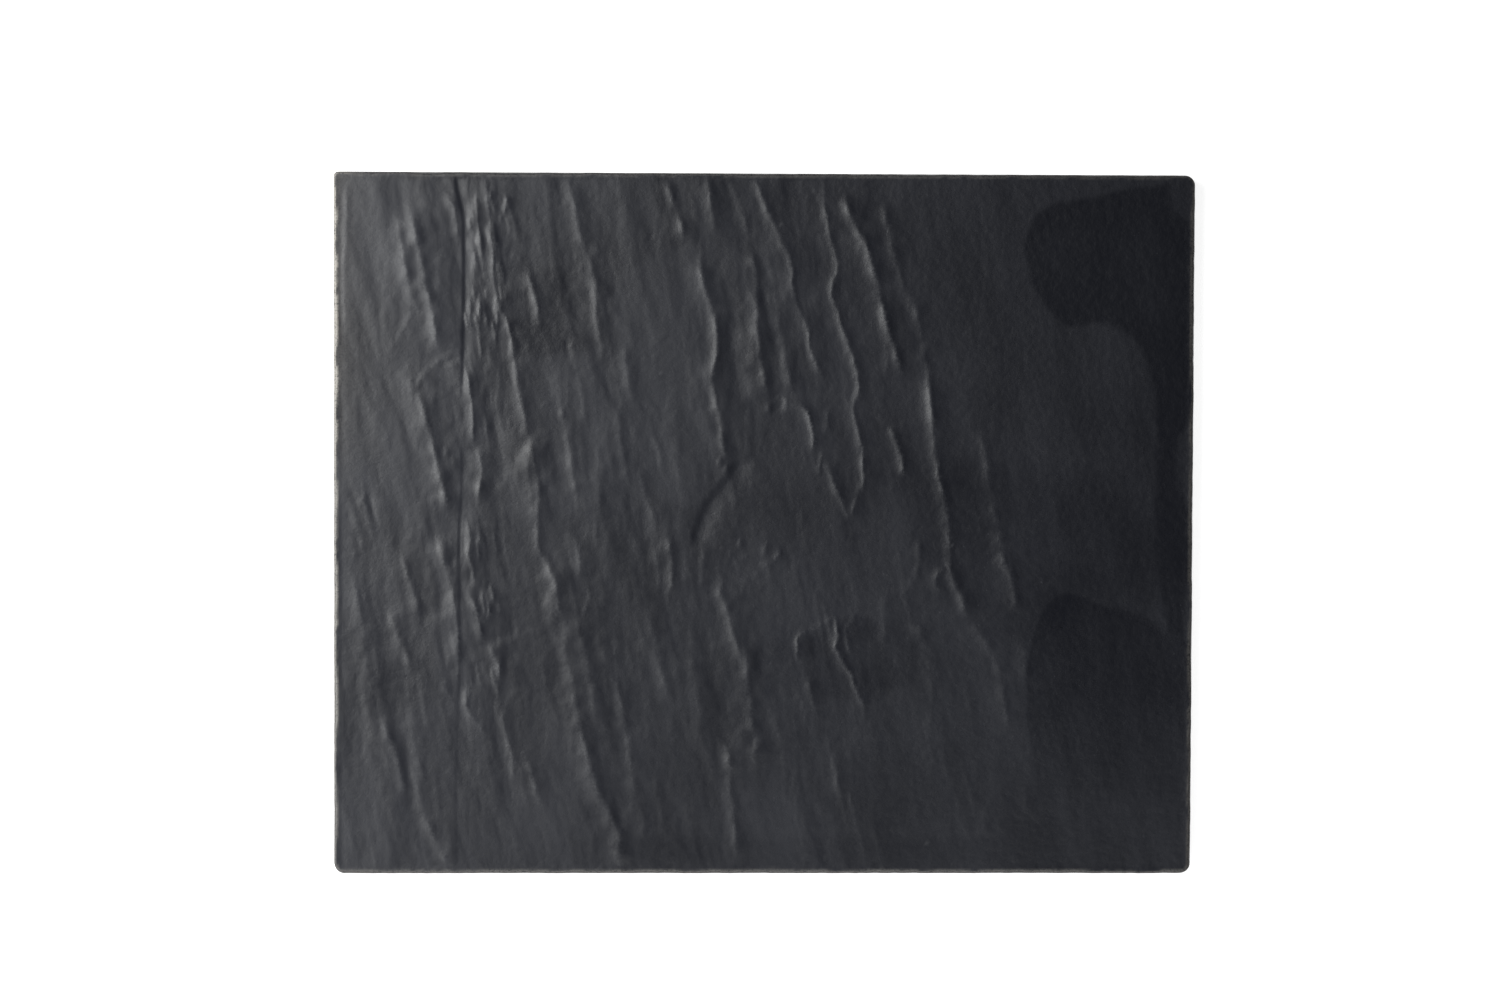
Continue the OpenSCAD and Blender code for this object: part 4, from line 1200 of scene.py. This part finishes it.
def slate_material(settings):
    """Oiled slate: charcoal leaves with streaks along the grain, smooth pools, crumbs painted as highlights
    on crests, specks, and patches of painted shade.
    """
    graph, material = new_material("oiled_slate")
    place = graph.add("ShaderNodeTexCoord", {}, {}, output="Object")
    flow = graph.add("ShaderNodeMapping", {"vector_type": "TEXTURE"},
                     {"Vector": place, "Rotation": (0, 0, math.radians(GRAIN_SLANT_DEG)),
                      "Scale": (1.0, STREAK_STRETCH, 1.0)})
    cloud = graph.noise(place, CLOUD)
    streak = graph.noise(flow, STREAK)
    grit = graph.noise(place, GRIT)
    crumbs_and_highlight = graph.noise(place, CRUMBS)
    rough_grain = graph.noise(place, ROUGH_GRAIN)
    flecks = graph.add("ShaderNodeTexVoronoi", {}, {"Vector": place, "Scale": FLECK_SCALE})
    marks = {name: graph.add("ShaderNodeAttribute", {"attribute_name": name}, {}, output="Fac")
             for name in MARKS}

    shade = STREAK_SHADE * streak + CLOUD_SHADE * cloud + PALE_SHADE * marks["pale"]
    stops = ((0.0, opaque(settings.dark)), (1.0, opaque(settings.light)))
    stone = graph.add("ShaderNodeValToRGB", {"stops": stops}, {"Fac": graph.band(shade, SHADE_SPAN)})
    # Pale rubbed edges; on the left arris and along the back of the left edge this paleness is a painted
    # highlight
    rubbing_and_highlight = marks["rubbed"] * graph.band(grit, RUBBED_AND_HIGHLIGHT_SPAN)
    stone = graph.mix(RUBBED_AND_HIGHLIGHT_COVER * rubbing_and_highlight, stone, opaque(settings.rubbed))
    fleck = graph.band(flecks, FLECK_SPAN) * graph.band(cloud, FLECK_CLOUD_SPAN)
    stone = graph.mix(FLECK_COVER * fleck + marks["speck"], stone, opaque(settings.chalk_and_highlight))
    # Pale crumbs on the crests, painted over their lit climbs as a highlight
    crest_crumbs_and_highlight = CRUMB_AND_HIGHLIGHT_COVER * marks["crest"] * graph.band(crumbs_and_highlight, CRUMB_AND_HIGHLIGHT_SPAN)
    stone = graph.mix(crest_crumbs_and_highlight, stone, opaque(settings.chalk_and_highlight))

    rough = CLOUD_ROUGH * cloud + STREAK_ROUGH * streak + GRAIN_ROUGH * rough_grain + GRIT_ROUGH * grit
    roughness = SLATE_ROUGH + rough + PALE_ROUGH * marks["pale"]
    relief = (GRAIN_RELIEF - RIVEN_RELIEF * marks["riven"]) * rough_grain + GRIT_RELIEF * grit
    relief = relief + (CREST_RELIEF * marks["crest"] + RUBBED_RELIEF * marks["rubbed"]) * crumbs_and_highlight
    bump = graph.add("ShaderNodeBump", {}, {"Strength": 1.0, "Distance": RELIEF_DEPTH, "Height": relief})
    finish_surface(graph, {"Base Color": stone, "Roughness": roughness, "Normal": bump,
                           "Specular IOR Level": SLATE_SPECULAR, "Specular Tint": opaque(settings.sheen)})
    return material


def rubber_material(settings):
    """Matt black rubber with a dusty bloom and fine moulding grain."""
    graph, material = new_material("foot_rubber")
    place = graph.add("ShaderNodeTexCoord", {}, {}, output="Object")
    dusty = graph.band(graph.noise(place, DUST), DUST_SPAN)
    colour = graph.mix(DUST_COVER * dusty, opaque(settings.rubber), opaque(settings.dust))
    bump = graph.add("ShaderNodeBump", {}, {"Strength": MOULDING_STRENGTH, "Distance": MOULDING_DEPTH,
                                            "Height": graph.noise(place, MOULDING)})
    roughness = RUBBER_ROUGH + DUST_ROUGH * dusty
    finish_surface(graph, {"Base Color": colour, "Roughness": roughness, "Normal": bump})
    return material


def adhesive_material(settings):
    """Cloudy adhesive on its carrier film."""
    graph, material = new_material("adhesive_film")
    place = graph.add("ShaderNodeTexCoord", {}, {}, output="Object")
    cloud = graph.noise(place, FILM)
    shaded = [FILM_SHADE * channel for channel in settings.adhesive]
    colour = graph.mix(graph.band(cloud, FILM_SPAN), opaque(shaded), opaque(settings.adhesive))
    finish_surface(graph, {"Base Color": colour, "Roughness": FILM_ROUGH + FILM_CLOUD_ROUGH * cloud})
    return material


def dress_node(name, material):
    """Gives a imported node's object a finished material."""
    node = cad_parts[name]
    node.data.materials.clear()
    node.data.materials.append(material)


# The studio

# Where the lights stand and what they point at, and half the side of the floor
SOFTBOX_PLACE = (-0.58, 0.22, 0.86)
SOFTBOX_AIM = (0.0, 0.0, 0.0)
FRONT_PLACE = (-0.03, -0.46, 0.40)
FRONT_AIM = (0.0, -0.12, 0.0)
SIDE_PLACE = (-0.5, -0.02, 0.42)
SIDE_AIM = (-0.1, -0.05, 0.0)
FLOOR_HALF = 4.0


def floor_material(settings):
    """A matt pale floor that the camera sees as white, with the board's shadow kept."""
    graph, material = new_material("studio_floor")
    diffuse = graph.add("ShaderNodeBsdfDiffuse", {}, {"Color": opaque(settings.floor)})
    glow = graph.add("ShaderNodeEmission", {}, {"Color": WHITE, "Strength": settings.glow})
    seen = graph.add("ShaderNodeAddShader", {}, {0: diffuse, 1: glow})
    shown = graph.add("ShaderNodeLightPath", {}, {}, output="Is Camera Ray")
    for ray in (shown.also("Is Glossy Ray"), shown.also("Is Transmission Ray")):
        shown = graph.add("ShaderNodeMath", {"operation": "MAXIMUM"}, {0: shown, 1: ray})
    surface = graph.add("ShaderNodeMixShader", {}, {0: shown, 1: diffuse, 2: seen})
    graph.add("ShaderNodeOutputMaterial", {}, {"Surface": surface})
    return material


def add_floor(settings):
    """The floor that the board stands on."""
    corners = [(-FLOOR_HALF, -FLOOR_HALF, 0), (FLOOR_HALF, -FLOOR_HALF, 0),
               (FLOOR_HALF, FLOOR_HALF, 0), (-FLOOR_HALF, FLOOR_HALF, 0)]
    mesh = bpy.data.meshes.new("floor")
    mesh.from_pydata(corners, [], [(0, 1, 2, 3)])
    mesh.materials.append(floor_material(settings))
    floor = bpy.data.objects.new("floor", mesh)
    bpy.context.collection.objects.link(floor)


def add_light(name, place, aim, power, length, width):
    """A soft light that points at a place."""
    light = bpy.data.lights.new(name, "AREA")
    light.shape = "RECTANGLE"
    light.energy = power
    light.size = length
    light.size_y = width
    lamp = bpy.data.objects.new(name, light)
    lamp.location = place
    lamp.rotation_euler = (Vector(aim) - Vector(place)).to_track_quat("-Z", "Y").to_euler()
    bpy.context.collection.objects.link(lamp)


def add_world(settings):
    """Faint light from all round."""
    world = bpy.data.worlds.new("studio")
    world.use_nodes = True
    world.node_tree.nodes.clear()
    graph = Graph(world.node_tree)
    sky = graph.add("ShaderNodeBackground", {}, {"Color": WHITE, "Strength": settings.fill})
    graph.add("ShaderNodeOutputWorld", {}, {"Surface": sky})
    bpy.context.scene.world = world


def add_camera():
    """The camera that looks down on the board as in the photograph."""
    lens = bpy.data.cameras.new("camera")
    lens.lens = CAMERA_LENS_MM
    lens.sensor_width = CAMERA_SENSOR_MM
    camera = bpy.data.objects.new("camera", lens)
    camera.location = CAMERA_PLACE
    camera.rotation_euler = CAMERA_TURN
    bpy.context.collection.objects.link(camera)
    bpy.context.scene.camera = camera


# Operators, in the order that the board is made


class SERVINGBOARD_OT_slab(bpy.types.Operator):
    """Builds the riven slab over its solid"""

    bl_idname = "serving_board.slab"
    bl_label = "Slab"

    def execute(self, context):
        settings = context.scene.board_slab
        material = slate_material(settings)
        slab = bpy.data.objects.new("riven_slab", slab_mesh(settings))
        context.collection.objects.link(slab)
        grow_ripples(slab, ripple_tree(material), settings)
        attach(slab, "root")
        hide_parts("slab")
        return {"FINISHED"}


class SERVINGBOARD_OT_feet(bpy.types.Operator):
    """Finishes the four rubber feet"""

    bl_idname = "serving_board.feet"
    bl_label = "Feet"

    def execute(self, context):
        rubber = rubber_material(context.scene.board_feet)
        for node in FOOT_NODES:
            dress_node(node, rubber)
        return {"FINISHED"}


class SERVINGBOARD_OT_adhesive(bpy.types.Operator):
    """Finishes the discs that hold the feet"""

    bl_idname = "serving_board.adhesive"
    bl_label = "Adhesive discs"

    def execute(self, context):
        film = adhesive_material(context.scene.board_feet)
        for node in ADHESIVE_NODES:
            dress_node(node, film)
        return {"FINISHED"}


class SERVINGBOARD_OT_stage(bpy.types.Operator):
    """Sets up the floor, the lights and the camera"""

    bl_idname = "serving_board.stage"
    bl_label = "Studio"

    def execute(self, context):
        settings = context.scene.board_stage
        add_floor(settings)
        add_light("softbox", SOFTBOX_PLACE, SOFTBOX_AIM, settings.softbox_power,
                  settings.softbox_size, settings.softbox_size)
        add_light("front_strip", FRONT_PLACE, FRONT_AIM, settings.front_power,
                  settings.strip_length, settings.strip_width)
        add_light("side_strip", SIDE_PLACE, SIDE_AIM, settings.side_power,
                  settings.strip_length, settings.strip_width)
        add_world(settings)
        add_camera()
        context.scene.view_settings.view_transform = "Standard"
        return {"FINISHED"}


class SERVINGBOARD_PT_panel(bpy.types.Panel):
    """Lists the steps that make the board"""

    bl_idname = "SERVINGBOARD_PT_panel"
    bl_label = "Serving board"
    bl_space_type = "VIEW_3D"
    bl_region_type = "UI"
    bl_category = "Serving board"

    def draw(self, context):
        for operator in OPERATORS:
            self.layout.operator(operator.bl_idname)
        for name in SETTINGS:
            box = self.layout.box()
            group = getattr(context.scene, name)
            for key in group.__annotations__:
                box.prop(group, key)


SETTINGS = {"board_slab": SlabSettings, "board_feet": FeetSettings, "board_stage": StageSettings}
OPERATORS = (SERVINGBOARD_OT_slab, SERVINGBOARD_OT_feet, SERVINGBOARD_OT_adhesive, SERVINGBOARD_OT_stage)


def register():
    """Adds the settings, the steps and the panel."""
    for name, group in SETTINGS.items():
        bpy.utils.register_class(group)
        setattr(bpy.types.Scene, name, bpy.props.PointerProperty(type=group))
    for item in (*OPERATORS, SERVINGBOARD_PT_panel):
        bpy.utils.register_class(item)


def unregister():
    """Takes away what register adds."""
    for item in (SERVINGBOARD_PT_panel, *reversed(OPERATORS)):
        bpy.utils.unregister_class(item)
    for name, group in SETTINGS.items():
        delattr(bpy.types.Scene, name)
        bpy.utils.unregister_class(group)


def main():
    """Builds the board and its studio."""
    register()
    bpy.ops.serving_board.slab()
    bpy.ops.serving_board.feet()
    bpy.ops.serving_board.adhesive()
    bpy.ops.serving_board.stage()


if __name__ == "__main__":
    main()
